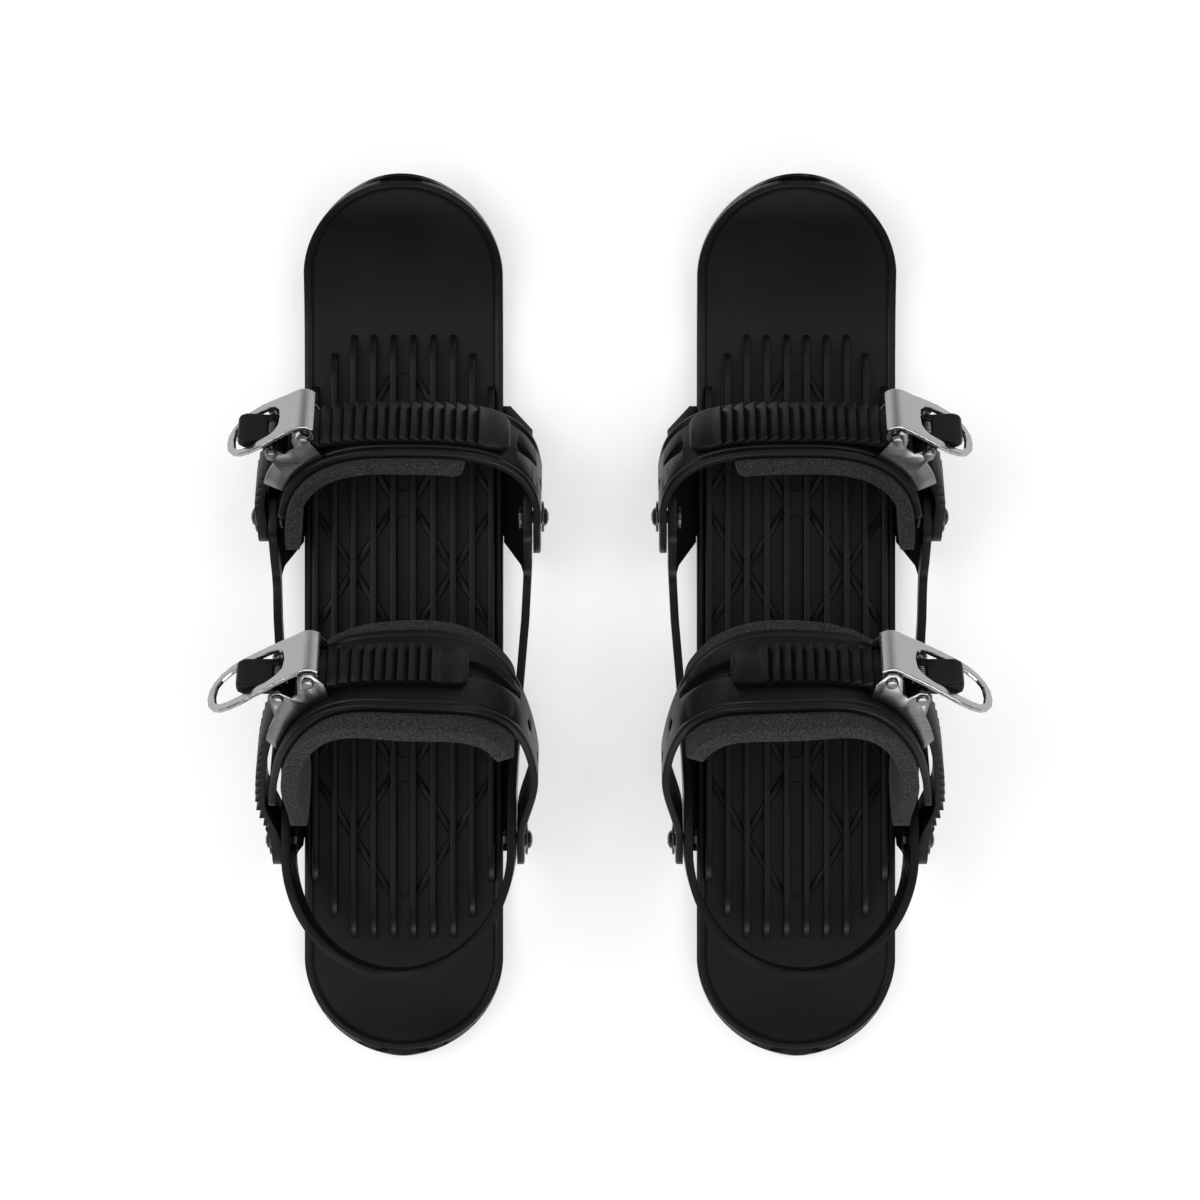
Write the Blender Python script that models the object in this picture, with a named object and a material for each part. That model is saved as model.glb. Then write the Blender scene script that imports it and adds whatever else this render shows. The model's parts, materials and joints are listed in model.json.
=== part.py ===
# A pair of short ski skates: ribbed boards that clamp under boots with padded ratchet straps.
# Units are metres, +Z is up, +Y points to the tips, and the origin is on the snow between the skates.
# The left skate is modelled once in its own frame and the right one is its mirror image.

import math

import bmesh
import bpy
import numpy as np
from mathutils import Matrix, Vector

# Clearance between neighbouring solids
GAP = 0.0003

# Pair
SKATE_SPACING = 0.170

# Board: a lower sole and an upper deck with a raised rim
BOARD_LENGTH = 0.380
BOARD_WIDTH = 0.086
SOLE_HEIGHT = 0.0058
DECK_HEIGHT = 0.0096
SOLE_EDGE_ROUND = 0.0012
RIM_WIDTH = 0.0047
RIM_DROP = 0.0007
RIM_ROUND = 0.0008
TIP_RIM_WIDTH = 0.0080
# Profiles of the upturned ends: distance in from the end of the board, height over the snow
TIP_BASE = [(0.078, 0.0), (0.058, 0.0020), (0.040, 0.0062), (0.022, 0.0122), (0.013, 0.0169),
            (0.0053, 0.0241), (0.0, 0.0343)]
TIP_PARTING = [(0.078, 0.0058), (0.058, 0.0078), (0.040, 0.0118), (0.022, 0.0178), (0.013, 0.0224),
               (0.0055, 0.0296), (0.0015, 0.0358)]
TIP_TOP = [(0.078, 0.0098), (0.058, 0.0120), (0.041, 0.0169), (0.027, 0.0229), (0.015, 0.0301),
           (0.0045, 0.0364)]
TAIL_BASE = [(0.036, 0.0), (0.020, 0.0022), (0.0085, 0.0057), (0.002, 0.0100), (0.0, 0.0141)]
TAIL_PARTING = [(0.044, 0.0058), (0.026, 0.0068), (0.010, 0.0104), (0.0008, 0.0150)]
TAIL_TOP = [(0.052, 0.0096), (0.034, 0.0098), (0.020, 0.0118), (0.0055, 0.0158), (0.0018, 0.0160)]

# Foot ribs that stand on the deck
RIB_WIDTH = 0.0024
RIB_TOP = 0.0163
RIB_FRONT_RAMP = 0.0137
RIB_REAR_RAMP = 0.0160
# Distance from the middle, front end and rear end of each rib
RIBS = [(0.0043, 0.1225, -0.1394), (0.0129, 0.1225, -0.1394), (0.0215, 0.1225, -0.1394),
        (0.0298, 0.1145, -0.1303), (0.0380, 0.1000, -0.1152)]

# Binding frame: two side walls, the heel loop, flanges under the deck and two cross plates
WALL = 0.0035
WALL_REACH = 0.0559
HEEL_REACH = 0.0493
TAPER_FRONT = 0.030
TAPER_REAR = -0.085
HEEL_CENTRE = -0.098
HEEL_LENGTH = 0.053
FOLD_HEIGHT = 0.0152
CROSS_PLATE = 0.0022
CROSS_PLATE_EASE = 0.0002
CROSS_PLATE_INSET = 0.0020
TOE_FLANGE = (0.0351, 0.0915)
HEEL_FLANGE = (-0.0957, -0.0298)
# Side outline over the fold, front to rear: place along the board, height, corner radius
UPPER_OUTLINE = [(0.0808, 0.0152, 0.0), (0.0770, 0.0240, 0.003), (0.0665, 0.0300, 0.008),
                 (0.0530, 0.0450, 0.009), (0.0340, 0.0455, 0.009), (0.0165, 0.0256, 0.010),
                 (-0.1600, 0.0802, 0.0), (-0.1600, 0.0693, 0.0), (-0.1013, 0.0155, 0.0)]
WINDOW_OUTLINE = [(-0.0390, 0.0155, 0.0), (-0.0570, 0.0265, 0.006), (-0.0598, 0.0388, 0.002),
                  (0.0165, 0.0171, 0.0), (0.0222, 0.0152, 0.0)]
SPARE_HOLES = [(-0.0809, 0.0358), (-0.1076, 0.0450)]
SPARE_HOLE_RADIUS = 0.0026

# Posts on the sole that hold the cross plates and the deck
POST_RADIUS = 0.0030
POST_TOP = 0.0078
POST_SIDE = 0.030
POST_ROWS = (0.048, 0.080, -0.044, -0.082)

# Strap pivots: flanged rivets with a domed head outside and a flat one inside the wall
PIVOT_RADIUS = 0.0028
PIVOT_FLANGE_RADIUS = 0.0065
PIVOT_FLANGE = 0.0010
PIVOT_DOME_RADIUS = 0.0042
PIVOT_DOME_HEIGHT = 0.0021
PIVOT_INNER_RADIUS = 0.0050
PIVOT_INNER_HEAD = 0.0018

# Ratchet buckles, the same for both straps
EAR_THICKNESS = 0.0012
EAR_CLEARANCE = 0.0004
EAR_MARGIN = 0.0015
EAR_STEPS = 14
FLOOR_THICKNESS = 0.0012
PIN_RADIUS = 0.0016
PIN_HEAD_RADIUS = 0.0027
PIN_HEAD_HEIGHT = 0.0015
PIN_RISE = 0.0050
HUB_RADIUS = 0.0046
RELEASE_EYE_RADIUS = 0.0036
RIVET_RADIUS = 0.0025
RIVET_INSET = 0.0055
ROLL_RADIUS = 0.0060
ROLL_START = -80.0
LEVER_HALF_WIDTH = 0.0115
LEVER_SHEET = 0.0020
CHEEK_THICKNESS = 0.0015
RING_HALF_WIDTH = 0.0125
OPENING_HALF_WIDTH = 0.0087
OPENING_START = 0.0085
RING_END_WIDTH = 0.0038
PAWL_HUB_RADIUS = 0.0032
PAWL_BITE = 0.0005
PAWL_EASE = 0.0010
NOSE_TEETH = 2
TAB_HALF_WIDTH = 0.0080
TAB_HUB_RADIUS = 0.0032
TAB_THICKNESS = 0.0052
SPRING_WIRE = 0.0004
SPRING_RADIUS = 0.0026
SPRING_TURNS = 2
SPRING_PITCH = 0.0020
SPRING_BAY = 0.0039
SPRING_BAY_RADIUS = 0.0035

# Ladder straps, the same section for both
LADDER_HALF_WIDTH = 0.0106
LADDER_TIP_HALF_WIDTH = 0.0090
LADDER_BASE = 0.0026
TOOTH_HEIGHT = 0.0016
TOOTH_PITCH = 0.0046
TOOTH_STEP = 0.0003
LADDER_TAPER = 0.012

# Each strap leans forward from its pivot. An arch half is its half width, roundness, half width at
# the pivot, height where it starts to lean out and height where it is widest. The first half of
# each pair is the inner side, where the shell is bolted; the second is the outer side.
SHELL_THICKNESS = 0.0032
PAD_GAP = 0.0005
TOE = {
    "name": "toe",
    "pivot": (0.0429, 0.0343),
    "lean": 46.5,
    "height": 0.0506,
    "shell": [(0.0576, 3.3, 0.0566, 0.006, 0.018), (0.0489, 2.6, 0.0489, 0.008, 0.030)],
    "ladder": [(0.0612, 3.3, 0.0612, 0.008, 0.030), (0.0574, 3.1, 0.0564, 0.006, 0.018)],
    "pad": [(0.0571, 3.3, 0.0571, 0.008, 0.030), (0.0484, 2.6, 0.0484, 0.008, 0.030)],
    "lug_radius": 0.0156,
    "shell_end": 0.013,
    "shell_widths": [(0.0, 0.0156), (1.0, 0.0156)],
    "shell_holes": [0.0187],
    "hole_radius": 0.0030,
    "pad_thickness": 0.0062,
    "pad_inner_end": 0.029,
    "pad_outer_end": -0.0047,
    "pad_widths": [(0.0, 0.0180, 0.0199), (1.0, 0.0177, 0.0180)],
    "ladder_tip": 0.045,
    "first_tooth": 0.016,
    "pin_side": 0.0350,
    "lever_length": 0.0365,
    "lever_tilt": -8.0,
    "lever_drop": 0.0030,
    "tab_length": 0.0146,
    "tab_angle": 175.0,
    "release_step": 0.0125,
    "base_ahead": 0.0030,
    "base_behind": 0.0270,
}
ANKLE = {
    "name": "ankle",
    "pivot": (-0.0946, 0.0402),
    "lean": 44.1,
    "height": 0.1001,
    "shell": [(0.0574, 3.6, 0.0498, 0.008, 0.050), (0.0514, 2.9, 0.0514, 0.008, 0.030)],
    "ladder": [(0.0610, 3.6, 0.0610, 0.008, 0.050), (0.0556, 3.3, 0.0498, 0.008, 0.034)],
    "pad": [(0.0569, 3.6, 0.0569, 0.008, 0.050), (0.0508, 2.9, 0.0446, 0.026, 0.062)],
    "lug_radius": 0.0106,
    "shell_end": 0.034,
    "shell_widths": [(0.0, 0.0106), (0.27, 0.0106), (0.55, 0.0228), (0.75, 0.0205), (1.0, 0.0140)],
    "shell_holes": [0.0163, 0.0332, 0.0505, 0.0689],
    "hole_radius": 0.0027,
    "pad_thickness": 0.0072,
    "pad_inner_end": 0.050,
    "pad_outer_end": 0.026,
    "pad_widths": [(0.0, 0.0270, 0.0270), (0.30, 0.0320, 0.0320), (0.75, 0.0230, 0.0230),
                   (1.0, 0.0190, 0.0190)],
    "ladder_tip": 0.031,
    "first_tooth": 0.018,
    "pin_side": 0.0295,
    "lever_length": 0.0490,
    "lever_tilt": -5.7,
    "lever_drop": 0.0035,
    "tab_length": 0.0175,
    "tab_angle": 180.0,
    "release_step": 0.0125,
    "base_ahead": 0.0040,
    "base_behind": 0.0360,
}
STRAPS = (TOE, ANKLE)

# Finishes: base colour, roughness, metallic
NYLON = ((0.012, 0.012, 0.013), 0.42, 0.0)
SOLE_NYLON = ((0.008, 0.008, 0.009), 0.30, 0.0)
FOAM = ((0.035, 0.035, 0.037), 0.95, 0.0)
BLACK_METAL = ((0.030, 0.030, 0.032), 0.30, 0.9)
POLISHED_STEEL = ((0.72, 0.72, 0.73), 0.12, 1.0)
BRUSHED_STEEL = ((0.42, 0.42, 0.43), 0.32, 1.0)


# Curves

def smooth_curve(points, steps=6):
    """Points on a smooth line through the given ones."""
    ends = [2 * Vector(points[0]) - Vector(points[1])]
    ends.append(2 * Vector(points[-1]) - Vector(points[-2]))
    knots = [ends[0]] + [Vector(point) for point in points] + [ends[1]]
    curve = []
    for before, start, end, after in zip(knots, knots[1:], knots[2:], knots[3:]):
        for step in range(steps):
            t = step / steps
            straight = 2 * start + (end - before) * t
            bend = (2 * before - 5 * start + 4 * end - after) * t ** 2
            twist = (3 * start - before - 3 * end + after) * t ** 3
            curve.append((straight + bend + twist) / 2)
    curve.append(Vector(points[-1]))
    return curve


def rounded_outline(corners, steps=3):
    """A closed outline whose corners (a, b, radius) are replaced by arcs."""
    outline = []
    for index, corner in enumerate(corners):
        here = Vector(corner[:2])
        radius = corner[2]
        if radius == 0.0:
            outline.append(here)
            continue
        back = (Vector(corners[index - 1][:2]) - here).normalized()
        ahead = (Vector(corners[(index + 1) % len(corners)][:2]) - here).normalized()
        half_turn = back.angle(ahead) / 2
        middle = here + (back + ahead).normalized() * (radius / math.sin(half_turn))
        first = here + back * (radius / math.tan(half_turn)) - middle
        last = here + ahead * (radius / math.tan(half_turn)) - middle
        for step in range(steps + 1):
            spoke = first.lerp(last, step / steps).normalized() * radius
            outline.append(middle + spoke)
    return outline


def superellipse(half_length, half_width, power, steps, start=0.0, end=360.0):
    """Points of a rounded rectangle, by angle in degrees."""
    points = []
    for angle in np.radians(np.linspace(start, end, steps)):
        a = math.copysign(abs(math.cos(angle)) ** (2 / power), math.cos(angle))
        b = math.copysign(abs(math.sin(angle)) ** (2 / power), math.sin(angle))
        points.append(Vector((half_length * a, half_width * b)))
    return points


def circle(radius, steps=12):
    """Points round the origin."""
    turns = [2 * math.pi * step / steps for step in range(steps)]
    return [Vector((radius * math.cos(turn), radius * math.sin(turn))) for turn in turns]


def ease(value):
    """0 to 1 with a level start and end."""
    value = min(max(value, 0.0), 1.0)
    return value * value * (3 - 2 * value)


class Path:
    """A line in a strap's plane, read by the length from its start."""

    def __init__(self, points):
        self.points = np.array([tuple(point) for point in points])
        steps = np.linalg.norm(np.diff(self.points, axis=0), axis=1)
        self.lengths = np.concatenate(([0.0], np.cumsum(steps)))
        self.total = float(self.lengths[-1])
        turns = np.arctan2(self.points[:, 1], self.points[:, 0])
        self.angles = np.where(turns < -math.pi / 2, turns + 2 * math.pi, turns)

    def at(self, length):
        u = np.interp(length, self.lengths, self.points[:, 0])
        v = np.interp(length, self.lengths, self.points[:, 1])
        return Vector((float(u), float(v)))

    def outward(self, length):
        step = 0.0008
        before = self.at(max(length - step, 0.0))
        after = self.at(min(length + step, self.total))
        along = (after - before).normalized()
        return Vector((along.y, -along.x))

    def lifted(self, length, lift):
        return self.at(length) + self.outward(length) * lift

    def nearest(self, point):
        gaps = np.linalg.norm(self.points - np.array(tuple(point)), axis=1)
        return float(self.lengths[int(np.argmin(gaps))])

    def offset(self, lift):
        return Path([self.lifted(length, lift) for length in self.lengths])

    def reach(self, angle):
        """Distance from the pivot level's middle to the line, in the given direction."""
        radii = np.linalg.norm(self.points, axis=1)
        return float(np.interp(angle, self.angles, radii))


def arch(halves, height, drop=0.0, steps=120):
    """A strap's line from the inner side, over the top, to the outer side."""
    sides = []
    for (width, power, waist, level, belly), sign in zip(halves, (1, -1)):
        side = [Vector((sign * waist, -drop))] if drop else []
        for step in range(steps + 1):
            share = step / steps
            turn = math.pi / 2 * share ** 2 / (share ** 2 + (1 - share) ** 2)
            v = height * math.sin(turn) ** (2 / power)
            lean = ease((v - level) / (belly - level))
            reach = waist + (width - waist) * lean
            side.append(Vector((sign * reach * math.cos(turn) ** (2 / power), v)))
        sides.append(side)
    return Path(sides[0] + sides[1][-2::-1])


# Solids

def build_mesh(points, faces):
    """A closed mesh with its faces outward."""
    form = bmesh.new()
    corners = [form.verts.new(point) for point in points]
    for face in faces:
        form.faces.new([corners[index] for index in face])
    bmesh.ops.recalc_face_normals(form, faces=form.faces)
    mesh = bpy.data.meshes.new("form")
    form.to_mesh(mesh)
    form.free()
    return mesh


def loft(rings, strips=False):
    """A skin over rings of points, with its ends capped."""
    count = len(rings[0])
    points = [point for ring in rings for point in ring]
    faces = []
    last = (len(rings) - 1) * count
    for here in range(0, last, count):
        there = here + count
        for index in range(count):
            after = (index + 1) % count
            faces.append((here + index, here + after, there + after, there + index))
    for start in (0, last):
        faces += cap_strips(start, count) if strips else [tuple(range(start, start + count))]
    return build_mesh(points, faces)


def cap_strips(start, count):
    """Faces across a ring that is alike left and right, from its tip to its tail."""
    half = count // 2
    faces = [(start, start + 1, start + count - 1)]
    for index in range(1, half - 1):
        faces.append((start + index, start + index + 1,
                      start + count - index - 1, start + count - index))
    faces.append((start + half - 1, start + half, start + half + 1))
    return faces


def prism(outline, low, high, place):
    """An outline extruded between two depths. place turns (a, b, depth) into a point."""
    rings = [[Vector(place(a, b, depth)) for a, b in outline] for depth in (low, high)]
    return loft(rings)


def turned(profile, place, steps=12):
    """A profile of (radius, depth) turned about its axis, from one end to the other."""
    rings = []
    for radius, depth in profile:
        rings.append([Vector(place(a, b, depth)) for a, b in circle(radius, steps)])
    return loft(rings)


def joined(meshes):
    """Separate bodies in one mesh."""
    form = bmesh.new()
    for mesh in meshes:
        form.from_mesh(mesh)
    whole = bpy.data.meshes.new("form")
    form.to_mesh(whole)
    form.free()
    return whole


def combined(mesh, others, operation):
    """The mesh united with, cut by or kept inside each of the others."""
    body = bpy.data.objects.new("body", mesh)
    bpy.context.collection.objects.link(body)
    tools = []
    for other in others:
        tool = bpy.data.objects.new("tool", other)
        tool.hide_render = True
        tool.display_type = "WIRE"
        bpy.context.collection.objects.link(tool)
        modifier = body.modifiers.new("Boolean", "BOOLEAN")
        modifier.operation = operation
        modifier.object = tool
        tools.append(tool)
    graph = bpy.context.evaluated_depsgraph_get()
    result = bpy.data.meshes.new_from_object(body.evaluated_get(graph))
    for helper in tools + [body]:
        bpy.data.objects.remove(helper)
    return result


def along_side(y, z, x):
    """Place for side outlines (along, up) extruded across the skate."""
    return (x, y, z)


# Board

def board_curve(tail, tip):
    """Height along the whole board from its end profiles."""
    half = BOARD_LENGTH / 2
    front = [Vector((half - inset, height)) for inset, height in tip]
    rear = [Vector((inset - half, height)) for inset, height in reversed(tail)]
    curve = smooth_curve(rear) + smooth_curve(front)
    return np.array([tuple(point) for point in curve])


def board_ring(curve, inset, tip_inset, tail_inset, drop):
    """A level-sided ring with round ends whose height follows a curve."""
    half = BOARD_LENGTH / 2
    width = BOARD_WIDTH / 2
    centre = half - width
    tip = superellipse(width - inset, width - tip_inset, 2.0, 10, 90.0, 0.0)
    tail = superellipse(width - inset, width - tail_inset, 2.0, 9, 0.0, 90.0)
    side = [Vector((x, y + centre)) for x, y in tip]
    side += [Vector((width - inset, y)) for y in np.linspace(centre - 0.009, half - 0.078, 4)]
    side += [Vector((width - inset, y)) for y in np.linspace(0.052 - half, 0.007 - centre, 2)]
    side += [Vector((x, -y - centre)) for x, y in tail]
    outline = side + [Vector((-x, y)) for x, y in side[-2:0:-1]]
    heights = np.interp([point.y for point in outline], curve[:, 0], curve[:, 1])
    return [Vector((x, y, z - drop)) for (x, y), z in zip(outline, heights)]


def sole_posts(clearance):
    """The posts on the sole, or with a clearance the holes that they need."""
    foot = SOLE_HEIGHT - GAP - CROSS_PLATE - 0.002
    profile = [(POST_RADIUS + clearance, foot), (POST_RADIUS + clearance, POST_TOP + clearance)]
    posts = []
    for row in POST_ROWS:
        for side in (-POST_SIDE, POST_SIDE):
            posts.append(turned(profile, lambda a, b, z: (side + a, row + b, z), 8))
    return joined(posts)


def sole_plate():
    base = board_curve(TAIL_BASE, TIP_BASE)
    parting = board_curve(TAIL_PARTING, TIP_PARTING)
    rings = [board_ring(base, SOLE_EDGE_ROUND, SOLE_EDGE_ROUND, SOLE_EDGE_ROUND, 0.0),
             board_ring(base, 0.0, 0.0, 0.0, -SOLE_EDGE_ROUND),
             board_ring(parting, 0.0, 0.0017, 0.0010, GAP)]
    plate = loft(rings, strips=True)
    floor = SOLE_HEIGHT - GAP - CROSS_PLATE - GAP
    pockets = []
    for rear, front in (TOE_FLANGE, HEEL_FLANGE):
        outline = [(rear - GAP, floor), (front + GAP, floor), (front + GAP, DECK_HEIGHT),
                   (rear - GAP, DECK_HEIGHT)]
        pockets.append(prism(outline, -BOARD_WIDTH, BOARD_WIDTH, along_side))
    plate = combined(plate, [joined(pockets)], "DIFFERENCE")
    return combined(plate, [sole_posts(0.0)], "UNION")


def rib(side, front, rear):
    """A tall bar with a rounded ramp at each end."""
    foot = DECK_HEIGHT - RIM_DROP - 0.001
    rise = RIB_TOP - foot
    outline = []
    for angle in np.radians(np.linspace(0.0, 90.0, 4)):
        outline.append((front - RIB_FRONT_RAMP * (1 - math.cos(angle)), foot + rise * math.sin(angle)))
    for angle in np.radians(np.linspace(90.0, 0.0, 4)):
        outline.append((rear + RIB_REAR_RAMP * (1 - math.cos(angle)), foot + rise * math.sin(angle)))
    return prism(outline, side - RIB_WIDTH / 2, side + RIB_WIDTH / 2, along_side)


def ribbed_deck():
    parting = board_curve(TAIL_PARTING, TIP_PARTING)
    top = board_curve(TAIL_TOP, TIP_TOP)
    rings = [board_ring(parting, 0.0, 0.0020, 0.0012, 0.0),
             board_ring(top, 0.0, 0.0036, 0.0018, RIM_ROUND),
             board_ring(top, RIM_ROUND, 0.0036 + RIM_ROUND, 0.0018 + RIM_ROUND, 0.0),
             board_ring(top, RIM_WIDTH - RIM_ROUND, TIP_RIM_WIDTH, TIP_RIM_WIDTH, 0.0),
             board_ring(top, RIM_WIDTH, TIP_RIM_WIDTH + RIM_ROUND, TIP_RIM_WIDTH + RIM_ROUND, RIM_DROP)]
    deck = loft(rings, strips=True)
    bars = []
    for side, front, rear in RIBS:
        bars += [rib(side, front, rear), rib(-side, front, rear)]
    deck = combined(deck, [joined(bars)], "UNION")
    return combined(deck, [sole_posts(GAP)], "DIFFERENCE")


# Binding frame

def wall_reach(y):
    """Outer half width of the frame ahead of the heel loop."""
    share = ease((TAPER_FRONT - y) / (TAPER_FRONT - TAPER_REAR))
    return WALL_REACH + (HEEL_REACH - WALL_REACH) * share


def frame_channel():
    """The frame's walls and flanges swept round the heel, before the side outline cuts them."""
    low = SOLE_HEIGHT - GAP - CROSS_PLATE
    top = SOLE_HEIGHT - GAP
    deck_side = BOARD_WIDTH / 2 + GAP
    flange_foot = deck_side + 0.0007
    stations = []
    for y in np.linspace(TOE_FLANGE[1] + 0.004, HEEL_CENTRE, 9):
        stations.append((Vector((wall_reach(y), y)), Vector((-1.0, 0.0))))
    for angle in np.radians(np.linspace(0.0, 90.0, 7))[1:]:
        point = Vector((HEEL_REACH * math.cos(angle), HEEL_CENTRE - HEEL_LENGTH * math.sin(angle)))
        inward = Vector((-math.cos(angle) / HEEL_REACH, math.sin(angle) / HEEL_LENGTH)).normalized()
        stations.append((point, inward))
    mirrored = [(Vector((-p.x, p.y)), Vector((-n.x, n.y))) for p, n in stations[-2::-1]]
    rings = []
    for point, inward in stations + mirrored:
        reach = wall_reach(point.y)
        slope = (FOLD_HEIGHT - low) / (reach - flange_foot)
        fold = FOLD_HEIGHT + 0.0014
        shoulder = fold - (reach - WALL - deck_side) * slope
        section = [(0.0, 0.090), (0.0, FOLD_HEIGHT), (reach - flange_foot, low), (reach - 0.038, low),
                   (reach - 0.038, top), (reach - deck_side, top), (reach - deck_side, shoulder),
                   (WALL, fold), (WALL, 0.090)]
        rings.append([Vector((*(point + inward * inset), z)) for inset, z in section])
    return loft(rings)


def frame_outline():
    """The frame seen from the side."""
    low = SOLE_HEIGHT - GAP - CROSS_PLATE - 0.001
    top = SOLE_HEIGHT - GAP
    corners = [(TOE_FLANGE[1], low, 0.0), (TOE_FLANGE[1], top, 0.0)]
    corners += UPPER_OUTLINE
    corners += [(HEEL_FLANGE[0], top, 0.0), (HEEL_FLANGE[0], low, 0.0)]
    corners += [(HEEL_FLANGE[1], low, 0.0), (HEEL_FLANGE[1], top, 0.0)]
    corners += WINDOW_OUTLINE
    corners += [(TOE_FLANGE[0], top, 0.0), (TOE_FLANGE[0], low, 0.0)]
    return rounded_outline(corners)


def binding_frame():
    reach = WALL_REACH + 0.010
    frame = combined(frame_channel(), [prism(frame_outline(), -reach, reach, along_side)], "INTERSECT")
    low = SOLE_HEIGHT - GAP - CROSS_PLATE + CROSS_PLATE_EASE
    top = SOLE_HEIGHT - GAP - CROSS_PLATE_EASE
    plates = []
    for rear, front in (TOE_FLANGE, HEEL_FLANGE):
        back = rear + CROSS_PLATE_INSET
        ahead = front - CROSS_PLATE_INSET
        outline = [(back, low), (ahead, low), (ahead, top), (back, top)]
        plates.append(prism(outline, -0.041, 0.041, along_side))
    frame = combined(frame, [joined(plates)], "UNION")
    holes = [(strap["pivot"], PIVOT_RADIUS + GAP) for strap in STRAPS]
    holes += [(spare, SPARE_HOLE_RADIUS) for spare in SPARE_HOLES]
    drills = []
    for (y, z), radius in holes:
        for side in (-1, 1):
            ends = [(radius, side * 0.035), (radius, side * reach)]
            drills.append(turned(ends, lambda a, b, x: (x, y + a, z + b), 10))
    return combined(frame, [joined(drills), sole_posts(GAP)], "DIFFERENCE")


# Pivots

def pivot_rivet(strap, side):
    """A rivet through a lug and the frame's wall, on the inner side (1) or the outer side (-1)."""
    y, z = strap["pivot"]
    lug = strap["shell"][0][2] + SHELL_THICKNESS
    if side < 0:
        lug = strap["ladder"][1][2] + LADDER_BASE + TOOTH_HEIGHT
    seat = lug + GAP
    wall = wall_reach(y) - WALL - GAP
    rim = seat + PIVOT_FLANGE
    profile = [(PIVOT_INNER_RADIUS, wall - PIVOT_INNER_HEAD), (PIVOT_INNER_RADIUS, wall),
               (PIVOT_RADIUS, wall), (PIVOT_RADIUS, seat), (PIVOT_FLANGE_RADIUS, seat),
               (PIVOT_FLANGE_RADIUS, rim), (PIVOT_DOME_RADIUS, rim)]
    for angle in np.radians((35.0, 68.0)):
        profile.append((PIVOT_DOME_RADIUS * math.cos(angle), rim + PIVOT_DOME_HEIGHT * math.sin(angle)))
    return turned(profile, lambda a, b, x: (side * x, y + a, z + b), 10)


# Straps. Points here are (across, along the lean, over the strap's width) from the pivots' middle.

def strap_solid(path, stations, section):
    """A band along a path. section gives (lift, width place) corners at each length."""
    rings = []
    for length in stations:
        corners = []
        for lift, w in section(length):
            u, v = path.lifted(length, lift)
            corners.append(Vector((u, v, w)))
        rings.append(corners)
    return loft(rings)


def peg(path, length, w, low, high, radius, steps=8):
    """A round peg square to a path."""
    out = path.outward(length)
    along = Vector((-out.y, out.x))

    def place(a, b, lift):
        u, v = path.at(length) + out * lift + along * a
        return (u, v, w + b)
    return turned([(radius, low), (radius, high)], place, steps)


def slab(half_low, half_high, low, high, corner):
    """Corners of a flat band whose outer edges are cut at an angle."""
    return [(low, -half_low), (low, half_high), (high - corner, half_high), (high, half_high - corner),
            (high, corner - half_low), (high - corner, -half_low)]


def lug_half_width(radius, below):
    """Half width of a lug's round end at a distance below the pivot."""
    return math.sqrt(max(radius ** 2 - below ** 2, 0.0))


def lug_stations(radius):
    """Lengths that follow a lug's round end, from just inside its very end."""
    return [radius * (1 - math.cos(angle)) for angle in np.radians((12.0, 30.0, 50.0, 70.0, 90.0))]


def shell_path(strap):
    return arch(strap["shell"], strap["height"], strap["lug_radius"])


def ladder_path(strap):
    height = strap["height"] + SHELL_THICKNESS + 0.0004
    return arch(strap["ladder"], height, LADDER_HALF_WIDTH)


def pad_path(strap):
    """The pad's outer face, just inside the shell."""
    return arch(strap["pad"], strap["height"] - PAD_GAP, 0.010)


def length_at_height(path, v, outer):
    """Length of the point at a height on the inner or the outer side."""
    half = len(path.points) // 2
    if outer:
        return float(np.interp(-v, -path.points[half:, 1], path.lengths[half:]))
    return float(np.interp(v, path.points[:half, 1], path.lengths[:half]))


def length_at_side(path, u):
    """Length of the point at a distance from the middle, on the upper part of the arch."""
    return float(np.interp(-u, -path.points[:, 0], path.lengths))


def strap_shell(strap):
    path = shell_path(strap)
    radius = strap["lug_radius"]
    end = length_at_height(path, strap["shell_end"], True)
    start = path.lengths[1]
    stations = lug_stations(radius) + list(np.linspace(start, end, 22)[1:])
    shares, widths = zip(*strap["shell_widths"])

    def section(length):
        half = float(np.interp((length - start) / (end - start), shares, widths))
        if length < radius:
            half = lug_half_width(radius, radius - length)
        return slab(half, half, 0.0, SHELL_THICKNESS, min(0.0008, half / 2))
    shell = strap_solid(path, stations, section)
    holes = [peg(path, radius, 0.0, -0.004, 0.008, PIVOT_RADIUS + GAP, 12)]
    for height in strap["shell_holes"]:
        length = length_at_height(path, height, False)
        holes.append(peg(path, length, 0.0, -0.004, 0.008, strap["hole_radius"]))
    holes.append(peg(path, rivet_length(strap), 0.0, -0.004, 0.008, RIVET_RADIUS + GAP))
    return combined(shell, [joined(holes)], "DIFFERENCE")


def strap_pad(strap):
    path = pad_path(strap)
    start = length_at_side(path, strap["pad_inner_end"])
    end = length_at_height(path, strap["pad_outer_end"], True)
    shares, lower, upper = zip(*strap["pad_widths"])
    round_off = 0.004
    stations = [start, start + 0.0015, start + round_off]
    stations += list(np.linspace(start, end, 18)[2:-2])
    stations += [end - round_off, end - 0.0015, end]

    def section(length):
        share = (length - start) / (end - start)
        near = min(length - start, end - length)
        trim = round_off * (1 - math.sin(math.acos(max(1 - near / round_off, 0.0))))
        half_low = float(np.interp(share, shares, lower)) - trim
        half_high = float(np.interp(share, shares, upper)) - trim
        edge = 0.0018
        thick = strap["pad_thickness"]
        return [(-thick + edge, -half_low), (-thick, edge - half_low), (-thick, half_high - edge),
                (-thick + edge, half_high), (-edge / 2, half_high), (0.0, half_high - edge / 2),
                (0.0, edge / 2 - half_low), (-edge / 2, -half_low)]
    return strap_solid(path, stations, section)


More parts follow.
